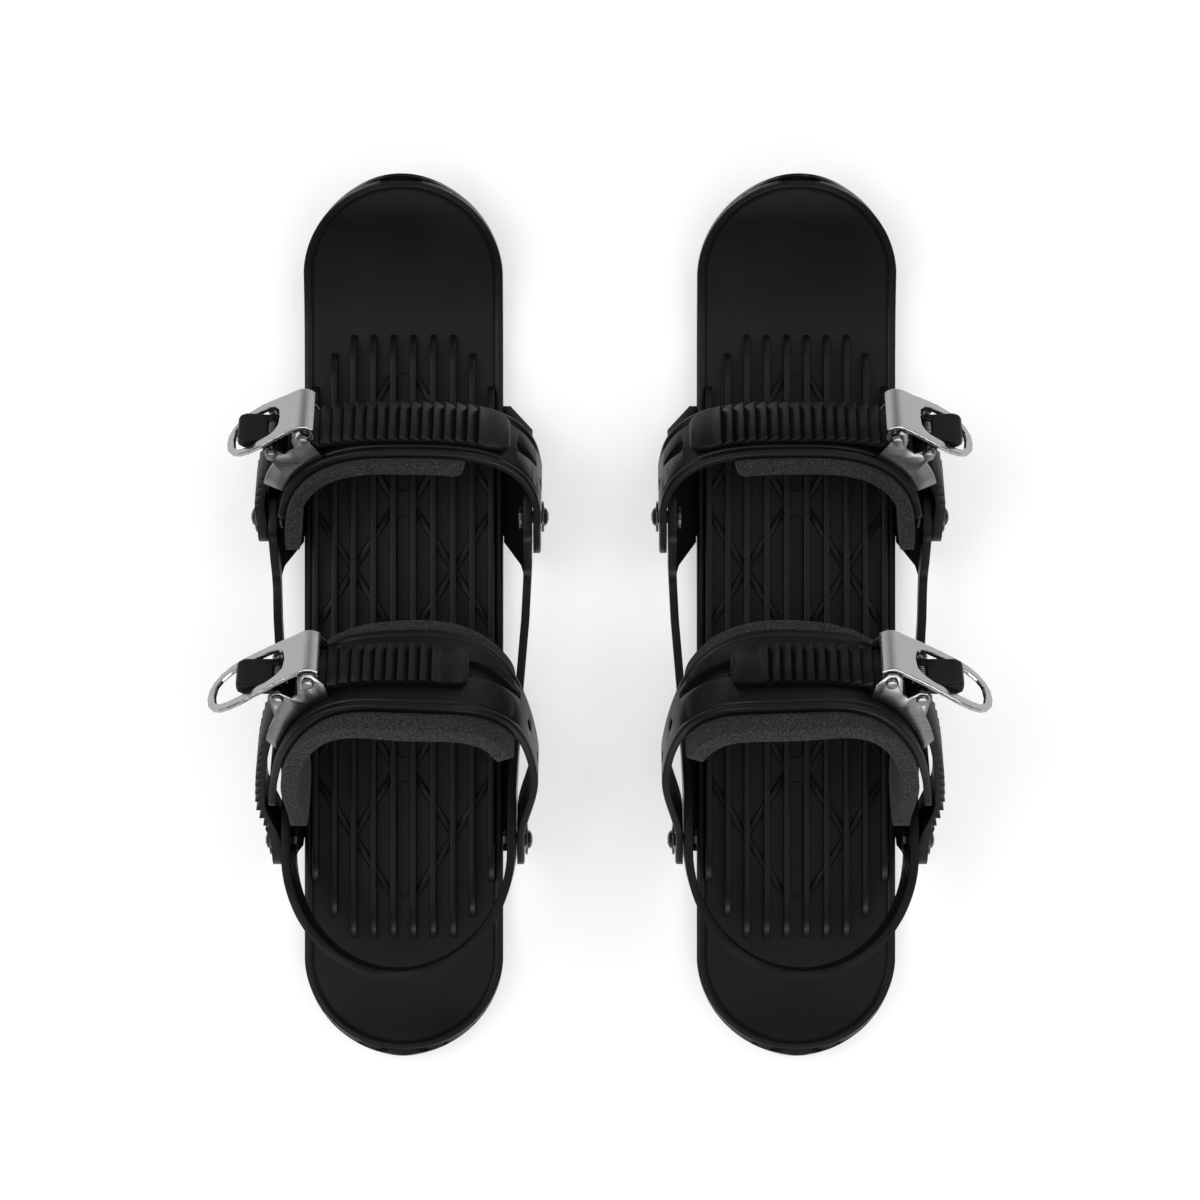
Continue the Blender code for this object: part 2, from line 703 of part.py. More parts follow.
def ladder_strap(strap):
    """The toothed strap, laid from its tip to its lug on the outer side."""
    path = ladder_path(strap)
    tip = length_at_side(path, strap["ladder_tip"])
    radius = LADDER_HALF_WIDTH
    pivot = path.total - radius
    lug = [path.total - length for length in lug_stations(radius)]
    pin = pin_length(strap)
    first_valley = pin + TOOTH_PITCH * math.floor((pivot - strap["first_tooth"] - pin) / TOOTH_PITCH)
    count = int((first_valley - tip - LADDER_TAPER) / TOOTH_PITCH)
    stations = {length: 1.0 for length in lug}
    for length in np.linspace(pivot, first_valley + 0.002, 4)[1:]:
        stations[float(length)] = 1.0
    for tooth in range(count):
        valley = first_valley - tooth * TOOTH_PITCH
        stations[valley] = 0.0
        stations[valley - TOOTH_STEP] = 1.0
    last = first_valley - count * TOOTH_PITCH
    for share, height in ((0.0, 0.0), (0.5, 0.0), (0.8, -0.15), (0.95, -0.3), (1.0, -0.6)):
        stations[last + (tip - last) * share] = height
    order = sorted(stations)

    def section(length):
        high = LADDER_BASE + TOOTH_HEIGHT * stations[length]
        half = radius
        if length > pivot:
            half = lug_half_width(radius, length - pivot)
        if length < last:
            share = (last - length) / (last - tip)
            half = radius + (LADDER_TIP_HALF_WIDTH - radius) * share - 0.0045 * max(share - 0.75, 0.0) * 4
        return [(0.0, -half), (0.0, half), (high, half), (high, -half)]
    ladder = strap_solid(path, order, section)
    hole = peg(path, pivot, 0.0, -0.004, 0.010, PIVOT_RADIUS + GAP, 12)
    return combined(ladder, [hole], "DIFFERENCE")


# Ratchet buckles

def pin_length(strap):
    """Where the lever pin stands along the ladder strap."""
    return length_at_side(ladder_path(strap), -strap["pin_side"])


def crest():
    return LADDER_BASE + TOOTH_HEIGHT


def lever_pin_place(strap):
    return ladder_path(strap).lifted(pin_length(strap), crest() + PIN_RISE)


def release_pin_place(strap):
    length = pin_length(strap) + strap["release_step"]
    return ladder_path(strap).lifted(length, crest() + PIN_RISE)


def base_angles(strap):
    """Directions from the pivots' middle to the front and the rear end of the buckle's base."""
    ladder = ladder_path(strap)
    pin = pin_length(strap)
    ends = [ladder.at(pin - strap["base_ahead"]), ladder.at(pin + strap["base_behind"])]
    return [math.atan2(end.y, end.x) for end in ends]


def rivet_length(strap):
    """Where the rivet stands along the shell, just short of the base's rear end."""
    path = shell_path(strap)
    rear = float(np.interp(base_angles(strap)[1], path.angles, path.lengths))
    return rear - RIVET_INSET


def ear_reach(strap, angle, share):
    """How far an ear reaches from the pivots' middle: over the ladder strap and round both pins."""
    crown = ladder_path(strap).offset(crest())
    ray = Vector((math.cos(angle), math.sin(angle)))
    reach = crown.reach(angle) + EAR_MARGIN * (1 - 2 * share ** 2)
    eyes = ((lever_pin_place(strap), HUB_RADIUS), (release_pin_place(strap), RELEASE_EYE_RADIUS))
    for pin, radius in eyes:
        across = abs(ray.x * pin.y - ray.y * pin.x)
        if across < radius:
            reach = max(reach, ray.dot(pin) + math.sqrt(radius ** 2 - across ** 2))
    return reach


def in_plane(u, v, w):
    """Place for outlines in a strap's plane extruded over its width."""
    return (u, v, w)


def buckle_base(strap):
    """A pressed channel: a floor on the shell and two ears that hold the pins."""
    floor = shell_path(strap).offset(SHELL_THICKNESS + GAP)
    inside = LEVER_HALF_WIDTH + EAR_CLEARANCE
    outside = inside + EAR_THICKNESS
    angles = np.linspace(*base_angles(strap), EAR_STEPS)
    rings = []
    for step, angle in enumerate(angles):
        ray = Vector((math.cos(angle), math.sin(angle)))
        low = floor.reach(angle)
        top = low + FLOOR_THICKNESS
        ear = ear_reach(strap, angle, step / (EAR_STEPS - 1))
        section = [(low, -outside), (low, outside), (ear, outside), (ear, inside), (top, inside),
                   (top, -inside), (ear, -inside), (ear, -outside)]
        rings.append([Vector((*(ray * reach), w)) for reach, w in section])
    drills = []
    for pin in (lever_pin_place(strap), release_pin_place(strap)):
        ends = [(PIN_RADIUS + GAP, -0.02), (PIN_RADIUS + GAP, 0.02)]
        drills.append(turned(ends, lambda a, b, w: (pin.x + a, pin.y + b, w), 10))
    drills.append(peg(shell_path(strap), rivet_length(strap), 0.0, 0.001, 0.008, RIVET_RADIUS + GAP))
    return combined(loft(rings), [joined(drills)], "DIFFERENCE")


def buckle_rivet(strap):
    """A flush rivet that holds the buckle's floor on the shell."""
    top = SHELL_THICKNESS + GAP + FLOOR_THICKNESS
    return peg(shell_path(strap), rivet_length(strap), 0.0, 0.0002, top, RIVET_RADIUS)


def buckle_pin(place):
    """A headed pin through both ears."""
    ear = LEVER_HALF_WIDTH + EAR_CLEARANCE + EAR_THICKNESS + GAP
    head = ear + PIN_HEAD_HEIGHT
    profile = [(PIN_HEAD_RADIUS * 0.85, -head), (PIN_HEAD_RADIUS, -ear), (PIN_RADIUS, -ear),
               (PIN_RADIUS, ear), (PIN_HEAD_RADIUS, ear), (PIN_HEAD_RADIUS * 0.85, head)]
    return turned(profile, lambda a, b, w: (place.x + a, place.y + b, w), 10)


def lever_axes(strap):
    """Directions along the lever's arm and out from it."""
    out = ladder_path(strap).outward(pin_length(strap))
    along = Vector((-out.y, out.x))
    tilt = Matrix.Rotation(math.radians(-strap["lever_tilt"]), 2)
    return tilt @ along, tilt @ out


def buckle_lever(strap):
    """Sheet steel rolled round the pin, with a finger ring at its end. Its origin is on the pin."""
    along, out = lever_axes(strap)
    length = strap["lever_length"]

    def place(p, q, w):
        u, v = along * p + out * q
        return (u, v, w)

    def plan(p, w, q):
        return place(p, q, w)
    outer = []
    inner = []
    for angle in np.radians(np.linspace(ROLL_START, 0.0, 7)):
        outer.append((ROLL_RADIUS * math.sin(angle), ROLL_RADIUS * math.cos(angle)))
        thin = ROLL_RADIUS - LEVER_SHEET
        inner.append((thin * math.sin(angle), thin * math.cos(angle)))
    for share in np.linspace(0.0, 1.0, 5)[1:]:
        sag = strap["lever_drop"] * share ** 2
        outer.append((length * share, ROLL_RADIUS - sag))
        inner.append((length * share, ROLL_RADIUS - LEVER_SHEET - sag))
    sheet = prism(outer + inner[::-1], -0.014, 0.014, place)
    ring_start = OPENING_START + 0.004
    ring_middle = max(length - RING_HALF_WIDTH * 1.5, ring_start)
    contour = [(-0.010, -LEVER_HALF_WIDTH), (OPENING_START - 0.003, -LEVER_HALF_WIDTH)]
    end = superellipse(length - ring_middle, RING_HALF_WIDTH, 2.3, 11, -90.0, 90.0)
    contour += [(ring_middle + p, w) for p, w in end]
    contour += [(OPENING_START - 0.003, LEVER_HALF_WIDTH), (-0.010, LEVER_HALF_WIDTH)]
    sheet = combined(sheet, [prism(contour, -0.02, 0.02, plan)], "INTERSECT")
    finish = length - RING_END_WIDTH
    middle = (OPENING_START + finish) / 2
    hole = superellipse((finish - OPENING_START) / 2, OPENING_HALF_WIDTH, 3.2, 17)[:-1]
    opening = prism([(middle + p, w) for p, w in hole], -0.02, 0.02, plan)
    sheet = combined(sheet, [opening], "DIFFERENCE")
    cheeks = []
    for side in (-1, 1):
        near = side * (LEVER_HALF_WIDTH - CHEEK_THICKNESS)
        far = side * (LEVER_HALF_WIDTH - 0.0001)
        cheeks.append(turned([(HUB_RADIUS, near), (HUB_RADIUS, far)], place, 14))
    lever = combined(sheet, [joined(cheeks)], "UNION")
    bore = turned([(PIN_RADIUS + GAP, -0.02), (PIN_RADIUS + GAP, 0.02)], place, 10)
    return combined(lever, [bore], "DIFFERENCE")


def bite_point(strap, teeth):
    """Where a pawl's edge rests: just behind the tooth that stands so many teeth from the lever pin."""
    length = pin_length(strap) + teeth * TOOTH_PITCH + PAWL_EASE
    return ladder_path(strap).lifted(length, crest() - PAWL_BITE)


def pawl_solid(pin, edge, hub_radius, half_width):
    """A hub on a pin with a wedge that reaches to the pawl's edge. Its origin is on the pin."""
    way = (edge - pin).normalized()
    reach = (edge - pin).length
    across = Vector((-way.y, way.x))
    root = hub_radius * 0.6
    outline = [across * root, way * reach + across * 0.0003, way * reach - across * 0.0003, -across * root]
    hub = turned([(hub_radius, -half_width), (hub_radius, half_width)], in_plane)
    wedge_width = half_width - 0.0006
    wedge = prism(outline, -wedge_width, wedge_width, in_plane)
    return combined(hub, [wedge], "UNION")


def pin_bore():
    return turned([(PIN_RADIUS + GAP, -0.02), (PIN_RADIUS + GAP, 0.02)], in_plane, 10)


def drive_pawl(strap):
    """The tooth that the lever swings, on the lever's own pin."""
    half_width = LEVER_HALF_WIDTH - CHEEK_THICKNESS - GAP
    pawl = pawl_solid(lever_pin_place(strap), bite_point(strap, 0), PAWL_HUB_RADIUS, half_width)
    return combined(pawl, [pin_bore()], "DIFFERENCE")


def release_tab(strap):
    """The thumb tab and its holding nose. Its origin is on the release pin."""
    angle = math.radians(strap["tab_angle"])
    way = Vector((math.cos(angle), math.sin(angle)))
    up = Vector((way.y, -way.x))
    rings = []
    for inset, trim_width, trim_depth in ((strap["tab_length"], 0.0002, 0.0), (0.0030, 0.0002, 0.0),
                                          (0.0008, 0.0012, 0.0004), (0.0, 0.0026, 0.0012)):
        half = TAB_HALF_WIDTH - trim_width
        deep = TAB_THICKNESS / 2 - trim_depth
        corners = []
        for rise, w in ((-deep, -half), (-deep, half), (deep, half), (deep, -half)):
            corners.append(Vector((*(way * (strap["tab_length"] - inset) + up * rise), w)))
        rings.append(corners)
    edge = bite_point(strap, NOSE_TEETH)
    hub = pawl_solid(release_pin_place(strap), edge, TAB_HUB_RADIUS, TAB_HALF_WIDTH)
    tab = combined(hub, [loft(rings)], "UNION")
    bay = turned([(SPRING_BAY_RADIUS, -SPRING_BAY), (SPRING_BAY_RADIUS, SPRING_BAY)], in_plane)
    return combined(tab, [bay, pin_bore()], "DIFFERENCE")


def release_spring():
    """An unbroken coil round the release pin."""
    steps = 8
    points = []
    for step in range(SPRING_TURNS * steps + 1):
        turn = 2 * math.pi * step / steps
        w = SPRING_PITCH * (step / steps - SPRING_TURNS / 2)
        points.append(Vector((SPRING_RADIUS * math.cos(turn), SPRING_RADIUS * math.sin(turn), w)))
    line = bpy.data.curves.new("coil", "CURVE")
    line.dimensions = "3D"
    line.bevel_depth = SPRING_WIRE
    line.bevel_resolution = 1
    line.use_fill_caps = True
    spline = line.splines.new("POLY")
    spline.points.add(len(points) - 1)
    for knot, point in zip(spline.points, points):
        knot.co = (*point, 1.0)
    coil = bpy.data.objects.new("coil", line)
    bpy.context.collection.objects.link(coil)
    graph = bpy.context.evaluated_depsgraph_get()
    mesh = bpy.data.meshes.new_from_object(coil.evaluated_get(graph))
    bpy.data.objects.remove(coil)
    near = [(a - b).length for i, a in enumerate(points) for b in points[i + steps - 2:]]
    print(f"release spring: least gap to itself {(min(near) - 2 * SPRING_WIRE) * 1000:.2f} mm")
    return mesh


# Assembly

def skate_meshes():
    """Every piece of the left skate: name, mesh, the frame that it is placed in, finish."""
    pieces = [("sole_plate", sole_plate(), "skate", SOLE_NYLON),
              ("ribbed_deck", ribbed_deck(), "skate", NYLON),
              ("binding_frame", binding_frame(), "skate", NYLON)]
    spring = release_spring()
    for strap in STRAPS:
        name = strap["name"]
        pin = lever_pin_place(strap)
        release = release_pin_place(strap)
        pieces += [(f"{name}_inner_pivot_rivet", pivot_rivet(strap, 1), "skate", BLACK_METAL),
                   (f"{name}_outer_pivot_rivet", pivot_rivet(strap, -1), "skate", BLACK_METAL),
                   (f"{name}_strap_shell", strap_shell(strap), name, NYLON),
                   (f"{name}_strap_pad", strap_pad(strap), name, FOAM),
                   (f"{name}_ladder_strap", ladder_strap(strap), name, NYLON),
                   (f"{name}_buckle_base", buckle_base(strap), name, BRUSHED_STEEL),
                   (f"{name}_buckle_rivet", buckle_rivet(strap), name, BRUSHED_STEEL),
                   (f"{name}_lever_pin", buckle_pin(pin), name, BRUSHED_STEEL),
                   (f"{name}_release_pin", buckle_pin(release), name, BRUSHED_STEEL),
                   (f"{name}_buckle_lever", buckle_lever(strap), f"{name}_lever", POLISHED_STEEL),
                   (f"{name}_drive_pawl", drive_pawl(strap), f"{name}_lever", BLACK_METAL),
                   (f"{name}_release_tab", release_tab(strap), f"{name}_release", NYLON),
                   (f"{name}_release_spring", spring.copy(), f"{name}_release", BRUSHED_STEEL)]
    return pieces


def add_empty(name, location, parent=None):
    empty = bpy.data.objects.new(name, None)
    empty.empty_display_size = 0.02
    empty.location = location
    empty.parent = parent
    bpy.context.collection.objects.link(empty)
    return empty


def skate_frames(side_name, hand):
    """Empties on the skate's middle and on each joint's axis."""
    root = add_empty(f"{side_name}_skate", (-hand * SKATE_SPACING / 2, 0.0, 0.0))
    frames = {"skate": root}
    for strap in STRAPS:
        name = strap["name"]
        pivot = add_empty(f"{side_name}_{name}_pivot", (0.0, *strap["pivot"]), root)
        pivot.rotation_euler.x = math.radians(strap["lean"])
        frames[name] = pivot
        for part, place in (("lever", lever_pin_place(strap)), ("release", release_pin_place(strap))):
            location = (hand * place.x, place.y, 0.0)
            frames[f"{name}_{part}"] = add_empty(f"{side_name}_{name}_{part}_axis", location, pivot)
    return frames


def finish_material(name, finish):
    colour, roughness, metallic = finish
    material = bpy.data.materials.new(name)
    material.use_nodes = True
    shader = material.node_tree.nodes["Principled BSDF"]
    shader.inputs["Base Color"].default_value = (*colour, 1.0)
    shader.inputs["Roughness"].default_value = roughness
    shader.inputs["Metallic"].default_value = metallic
    return material


def add_piece(name, mesh, parent, hand, finish):
    """Put a piece of the left skate in its frame, mirrored for the right skate."""
    mesh = mesh.copy()
    mesh.name = name
    if hand < 0:
        mesh.transform(Matrix.Diagonal((-1.0, 1.0, 1.0, 1.0)))
        mesh.flip_normals()
    mesh.materials.clear()
    mesh.materials.append(finish_material(name, finish))
    mesh.shade_smooth()
    mesh.set_sharp_from_angle(angle=math.radians(32.0))
    piece = bpy.data.objects.new(name, mesh)
    piece.parent = parent
    bpy.context.collection.objects.link(piece)


def main():
    for old in list(bpy.data.objects):
        bpy.data.objects.remove(old)
    pieces = skate_meshes()
    for side_name, hand in (("left", 1), ("right", -1)):
        frames = skate_frames(side_name, hand)
        for name, mesh, frame, finish in pieces:
            add_piece(f"{side_name}_{name}", mesh, frames[frame], hand, finish)
    for strap in STRAPS:
        pin = lever_pin_place(strap)
        release = release_pin_place(strap)
        print(f"{strap['name']}: lever pin at {pin.x * 1000:.2f}, {pin.y * 1000:.2f} mm, "
              f"release pin at {release.x * 1000:.2f}, {release.y * 1000:.2f} mm from the pivots")


main()
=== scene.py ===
import json
import math

import bpy
from mathutils import Matrix, Vector

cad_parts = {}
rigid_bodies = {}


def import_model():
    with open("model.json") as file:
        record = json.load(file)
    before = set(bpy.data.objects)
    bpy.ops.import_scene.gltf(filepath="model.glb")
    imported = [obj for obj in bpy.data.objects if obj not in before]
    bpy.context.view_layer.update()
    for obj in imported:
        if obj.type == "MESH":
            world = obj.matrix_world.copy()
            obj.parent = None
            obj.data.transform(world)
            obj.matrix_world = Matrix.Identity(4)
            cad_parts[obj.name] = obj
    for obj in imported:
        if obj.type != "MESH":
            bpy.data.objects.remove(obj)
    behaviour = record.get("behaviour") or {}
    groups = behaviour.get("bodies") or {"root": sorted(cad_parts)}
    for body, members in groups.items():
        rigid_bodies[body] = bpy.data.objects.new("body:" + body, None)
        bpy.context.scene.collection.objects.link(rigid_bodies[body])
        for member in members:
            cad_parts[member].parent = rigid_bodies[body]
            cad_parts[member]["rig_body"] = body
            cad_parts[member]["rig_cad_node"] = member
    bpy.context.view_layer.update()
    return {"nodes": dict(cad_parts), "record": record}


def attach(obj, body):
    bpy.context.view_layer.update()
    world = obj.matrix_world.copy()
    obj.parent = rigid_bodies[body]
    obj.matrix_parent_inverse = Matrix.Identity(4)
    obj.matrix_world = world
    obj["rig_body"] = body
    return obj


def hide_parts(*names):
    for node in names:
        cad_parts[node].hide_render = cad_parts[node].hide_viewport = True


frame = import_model()

# The photographed skate is the left one, and the right one mirrors it
sides = {"left": 1, "right": -1}
skateSpacing = 0.170
# Slack for points that are picked by their place, the least width that is divided by, and how near to
# each other the points of a new piece are merged
nearly = 1e-6
smallest = 1e-9
mergeWithin = 0.00002


# Selecting and changing pieces

def deselect():
    bpy.ops.object.select_all(action="DESELECT")


def activate(piece):
    deselect()
    piece.select_set(True)
    bpy.context.view_layer.objects.active = piece


def applyModifiers(piece):
    activate(piece)
    for modifier in list(piece.modifiers):
        bpy.ops.object.modifier_apply(modifier=modifier.name)


def bevel(piece, width, segments, angle=28.0):
    # Breaks the edges that turn by more than the angle, in degrees
    modifier = piece.modifiers.new("Bevel", "BEVEL")
    modifier.width = width
    modifier.segments = segments
    modifier.limit_method = "ANGLE"
    modifier.angle_limit = math.radians(angle)
    modifier.use_clamp_overlap = True


def copyPiece(piece, name):
    twin = piece.copy()
    twin.data = piece.data.copy()
    twin.name = name
    bpy.context.scene.collection.objects.link(twin)
    return twin


# Finishes

def startMaterial(name):
    material = bpy.data.materials.new(name)
    material.use_nodes = True
    tree = material.node_tree
    shader = tree.nodes["Principled BSDF"]
    coords = tree.nodes.new("ShaderNodeTexCoord")
    return material, tree, shader, coords.outputs["Object"]


def addNoise(tree, coords, scale, detail=4.0, roughness=0.5):
    noise = tree.nodes.new("ShaderNodeTexNoise")
    noise.inputs["Scale"].default_value = scale
    noise.inputs["Detail"].default_value = detail
    noise.inputs["Roughness"].default_value = roughness
    tree.links.new(coords, noise.inputs["Vector"])
    return noise.outputs["Fac"]


# Noise mostly stays between these two values
noiseSpan = (0.3, 0.7)


def addRange(tree, value, low, high):
    spread = tree.nodes.new("ShaderNodeMapRange")
    spread.inputs["From Min"].default_value = noiseSpan[0]
    spread.inputs["From Max"].default_value = noiseSpan[1]
    spread.inputs["To Min"].default_value = low
    spread.inputs["To Max"].default_value = high
    tree.links.new(value, spread.inputs["Value"])
    return spread.outputs["Result"]


def addColours(tree, value, dark, pale, low=0.35, high=0.65):
    ramp = tree.nodes.new("ShaderNodeValToRGB")
    ramp.color_ramp.elements[0].position = low
    ramp.color_ramp.elements[0].color = (*dark, 1.0)
    ramp.color_ramp.elements[1].position = high
    ramp.color_ramp.elements[1].color = (*pale, 1.0)
    tree.links.new(value, ramp.inputs["Fac"])
    return ramp.outputs["Color"]


def addBump(tree, shader, height, strength, distance):
    bump = tree.nodes.new("ShaderNodeBump")
    bump.inputs["Strength"].default_value = strength
    bump.inputs["Distance"].default_value = distance
    tree.links.new(height, bump.inputs["Height"])
    tree.links.new(bump.outputs["Normal"], shader.inputs["Normal"])


nylonLook = {"dark": (0.0034, 0.0034, 0.0036), "pale": (0.0054, 0.0054, 0.0057), "rough": (0.33, 0.40),
             "specular": 0.15, "grain": 2600.0}
soleLook = {"dark": (0.0034, 0.0034, 0.0036), "pale": (0.0052, 0.0052, 0.0054), "rough": (0.20, 0.28),
            "specular": 0.22, "grain": 900.0}
# What all moulded pieces share: wide clouds of tone, and the fineness and relief of the grain
mouldGrain = {"cloud": 28.0, "detail": 2.0, "bump": (0.25, 0.00008)}


def mouldedPlastic(name, look):
    material, tree, shader, coords = startMaterial(name)
    cloud = addNoise(tree, coords, mouldGrain["cloud"])
    grain = addNoise(tree, coords, look["grain"], mouldGrain["detail"])
    tree.links.new(addColours(tree, cloud, look["dark"], look["pale"]), shader.inputs["Base Color"])
    tree.links.new(addRange(tree, cloud, *look["rough"]), shader.inputs["Roughness"])
    shader.inputs["Specular IOR Level"].default_value = look["specular"]
    addBump(tree, shader, grain, *mouldGrain["bump"])
    return material


foamLook = {"dark": (0.0075, 0.0075, 0.0078), "pale": (0.064, 0.064, 0.066), "spread": (0.42, 0.72),
            "cells": 1500.0, "specks": (1350.0, 3.0, 0.7), "rough": 0.95, "specular": 0.15, "sheen": 0.08,
            "bump": (0.6, 0.00035)}


def speckledFoam(name, look):
    material, tree, shader, coords = startMaterial(name)
    cells = tree.nodes.new("ShaderNodeTexVoronoi")
    cells.inputs["Scale"].default_value = look["cells"]
    tree.links.new(coords, cells.inputs["Vector"])
    speck = addNoise(tree, coords, *look["specks"])
    colour = addColours(tree, speck, look["dark"], look["pale"], *look["spread"])
    tree.links.new(colour, shader.inputs["Base Color"])
    shader.inputs["Roughness"].default_value = look["rough"]
    shader.inputs["Specular IOR Level"].default_value = look["specular"]
    shader.inputs["Sheen Weight"].default_value = look["sheen"]
    addBump(tree, shader, cells.outputs["Distance"], *look["bump"])
    return material


# The grain of brushed steel is drawn out, so it is dense in one direction only
brushedGrain = {"scale": (60.0, 60.0, 2400.0), "relief": 0.12}
evenGrain = {"scale": (300.0, 300.0, 300.0), "relief": 0.03}
steelGrain = {"noise": (1.0, 3.0, 0.6), "depth": 0.00003}


def steel(name, colour, rough, grain):
    material, tree, shader, coords = startMaterial(name)
    stretch = tree.nodes.new("ShaderNodeMapping")
    stretch.inputs["Scale"].default_value = grain["scale"]
    tree.links.new(coords, stretch.inputs["Vector"])
    lines = addNoise(tree, stretch.outputs["Vector"], *steelGrain["noise"])
    tree.links.new(addRange(tree, lines, *rough), shader.inputs["Roughness"])
    shader.inputs["Base Color"].default_value = (*colour, 1.0)
    shader.inputs["Metallic"].default_value = 1.0
    addBump(tree, shader, lines, grain["relief"], steelGrain["depth"])
    return material


finishes = {
    "nylon": mouldedPlastic("satinNylon", nylonLook),
    "sole_nylon": mouldedPlastic("soleNylon", soleLook),
    "foam": speckledFoam("speckledFoam", foamLook),
    "dark_metal": steel("blackSteel", (0.05, 0.05, 0.052), (0.24, 0.36), evenGrain),
    "brushed_steel": steel("brushedSteel", (0.21, 0.21, 0.214), (0.24, 0.36), brushedGrain),
    "polished_steel": steel("polishedSteel", (0.36, 0.36, 0.365), (0.17, 0.26), brushedGrain),
}
print("finishes made")

slotOf = {entry["node"]: entry["material_slot"] for entry in frame["record"]["subparts"]}
bodyOf = {node: body for body, nodes in frame["record"]["behaviour"]["bodies"].items() for node in nodes}
# Edges that turn by less than this are shaded smooth, in degrees
smoothAngles = {"modelled": 34.0, "plain": 32.0, "cast": 60.0}


def finishPiece(piece, node, kind):
    activate(piece)
    bpy.ops.object.shade_smooth_by_angle(angle=math.radians(smoothAngles[kind]))
    piece.data.materials.clear()
    piece.data.materials.append(finishes[slotOf[node]])
    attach(piece, bodyOf[node])
    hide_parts(node)


# Shaping helpers: what is selected is chosen by place, then an operator acts on it

def pick(piece, test):
    activate(piece)
    for face in piece.data.polygons:
        face.select = False
    for edge in piece.data.edges:
        edge.select = False
    for vertex in piece.data.vertices:
        vertex.select = test(vertex.co)
    bpy.ops.object.mode_set(mode="EDIT")
    bpy.ops.mesh.select_mode(type="VERT")


def pickAll(piece):
    pick(piece, lambda co: True)


def leave():
    bpy.ops.object.mode_set(mode="OBJECT")


def tidyMesh(piece):
    pickAll(piece)
    bpy.ops.mesh.remove_doubles(threshold=mergeWithin)
    bpy.ops.mesh.normals_make_consistent(inside=False)
    leave()


def carve(piece, cutters, crossing=False):
    # Crossing is for a cutter whose own parts run through each other
    for cutter in cutters:
        modifier = piece.modifiers.new("Boolean", "BOOLEAN")
        modifier.use_self = crossing
        modifier.operation = "DIFFERENCE"
        modifier.solver = "EXACT"
        modifier.object = cutter
    applyModifiers(piece)
    for cutter in cutters:
        bpy.data.objects.remove(cutter)


def addBlock(place, size, turn=0.0):
    deselect()
    bpy.ops.mesh.primitive_cube_add(size=1.0, location=place, rotation=(0.0, 0.0, turn))
    block = bpy.context.object
    block.scale = size
    bpy.ops.object.transform_apply(location=True, rotation=True, scale=True)
    return block


def addDrill(place, radius, depth, sides=32):
    deselect()
    bpy.ops.mesh.primitive_cylinder_add(vertices=sides, radius=radius, depth=depth, location=place)
    drill = bpy.context.object
    bpy.ops.object.transform_apply(location=True, rotation=True, scale=True)
    return drill


def joinAll(pieces, name):
    deselect()
    for piece in pieces:
        piece.select_set(True)
    bpy.context.view_layer.objects.active = pieces[0]
    bpy.ops.object.join()
    pieces[0].name = name
    pieces[0].data.name = name
    return pieces[0]


def finishPair(piece, ending):
    # The piece is modelled about its skate's middle, and each side gets its own mesh
    twins = []
    for side, hand in sides.items():
        node = side + "_" + ending
        twin = copyPiece(piece, node + "_dressed")
        shift = Matrix.Translation((-hand * skateSpacing / 2, 0.0, 0.0))
        twin.data.transform(shift @ Matrix.Diagonal((hand, 1.0, 1.0, 1.0)))
        if hand < 0:
            pickAll(twin)
            bpy.ops.mesh.flip_normals()
            leave()
        finishPiece(twin, node, "modelled")
        twins.append(twin)
    bpy.data.objects.remove(piece)
    return twins


# Curves that the board follows, as a distance in from its end and a height

endProfiles = {
    "tipBase": [(0.078, 0.0), (0.058, 0.0020), (0.040, 0.0062), (0.022, 0.0122), (0.013, 0.0169),
                (0.0053, 0.0241), (0.0, 0.0343)],
    "tipParting": [(0.078, 0.0058), (0.058, 0.0078), (0.040, 0.0118), (0.022, 0.0178), (0.013, 0.0224),
                   (0.0055, 0.0296), (0.0015, 0.0358)],
    "tipTop": [(0.078, 0.0098), (0.058, 0.0120), (0.041, 0.0169), (0.027, 0.0229), (0.015, 0.0301),
               (0.0045, 0.0364)],
    "tailBase": [(0.036, 0.0), (0.020, 0.0022), (0.0085, 0.0057), (0.002, 0.0100), (0.0, 0.0141)],
    "tailParting": [(0.044, 0.0058), (0.026, 0.0068), (0.010, 0.0104), (0.0008, 0.0150)],
    "tailTop": [(0.052, 0.0096), (0.034, 0.0098), (0.020, 0.0118), (0.0055, 0.0158), (0.0018, 0.0160)],
}


def smoothLine(points, count=8):
    # A curve through the points, with a few steps between each two
    first = 2 * Vector(points[0]) - Vector(points[1])
    last = 2 * Vector(points[-1]) - Vector(points[-2])
    knots = [first] + [Vector(point) for point in points] + [last]
    line = []
    for before, start, end, after in zip(knots, knots[1:], knots[2:], knots[3:]):
        for step in range(count):
            t = step / count
            bend = (2 * before - 5 * start + 4 * end - after) * t ** 2
            twist = (3 * start - before - 3 * end + after) * t ** 3
            line.append((2 * start + (end - before) * t + bend + twist) / 2)
    return line + [Vector(points[-1])]


def heightLine(name):
    # Places along the board with their heights, from the tail to the tip
    half = board["length"] / 2
    rear = [(point.x - half, point.y) for point in reversed(smoothLine(endProfiles["tail" + name]))]
    front = [(half - point.x, point.y) for point in smoothLine(endProfiles["tip" + name])]
    return rear + front


def readLine(line, place):
    if place <= line[0][0]:
        return line[0][1]
    for (start, low), (end, high) in zip(line, line[1:]):
        if place <= end:
            return low + (high - low) * (place - start) / max(end - start, smallest)
    return line[-1][1]


# Board: the running sole and the deck, each from a stretched disc

# Cuts across the curved ends: from, to and in how many steps
board = {"length": 0.380, "width": 0.086, "sides": 144, "parting": 0.0058, "top": 0.0096,
         "cutsFront": (0.106, 0.187, 28), "cutsRear": (-0.187, -0.132, 20)}


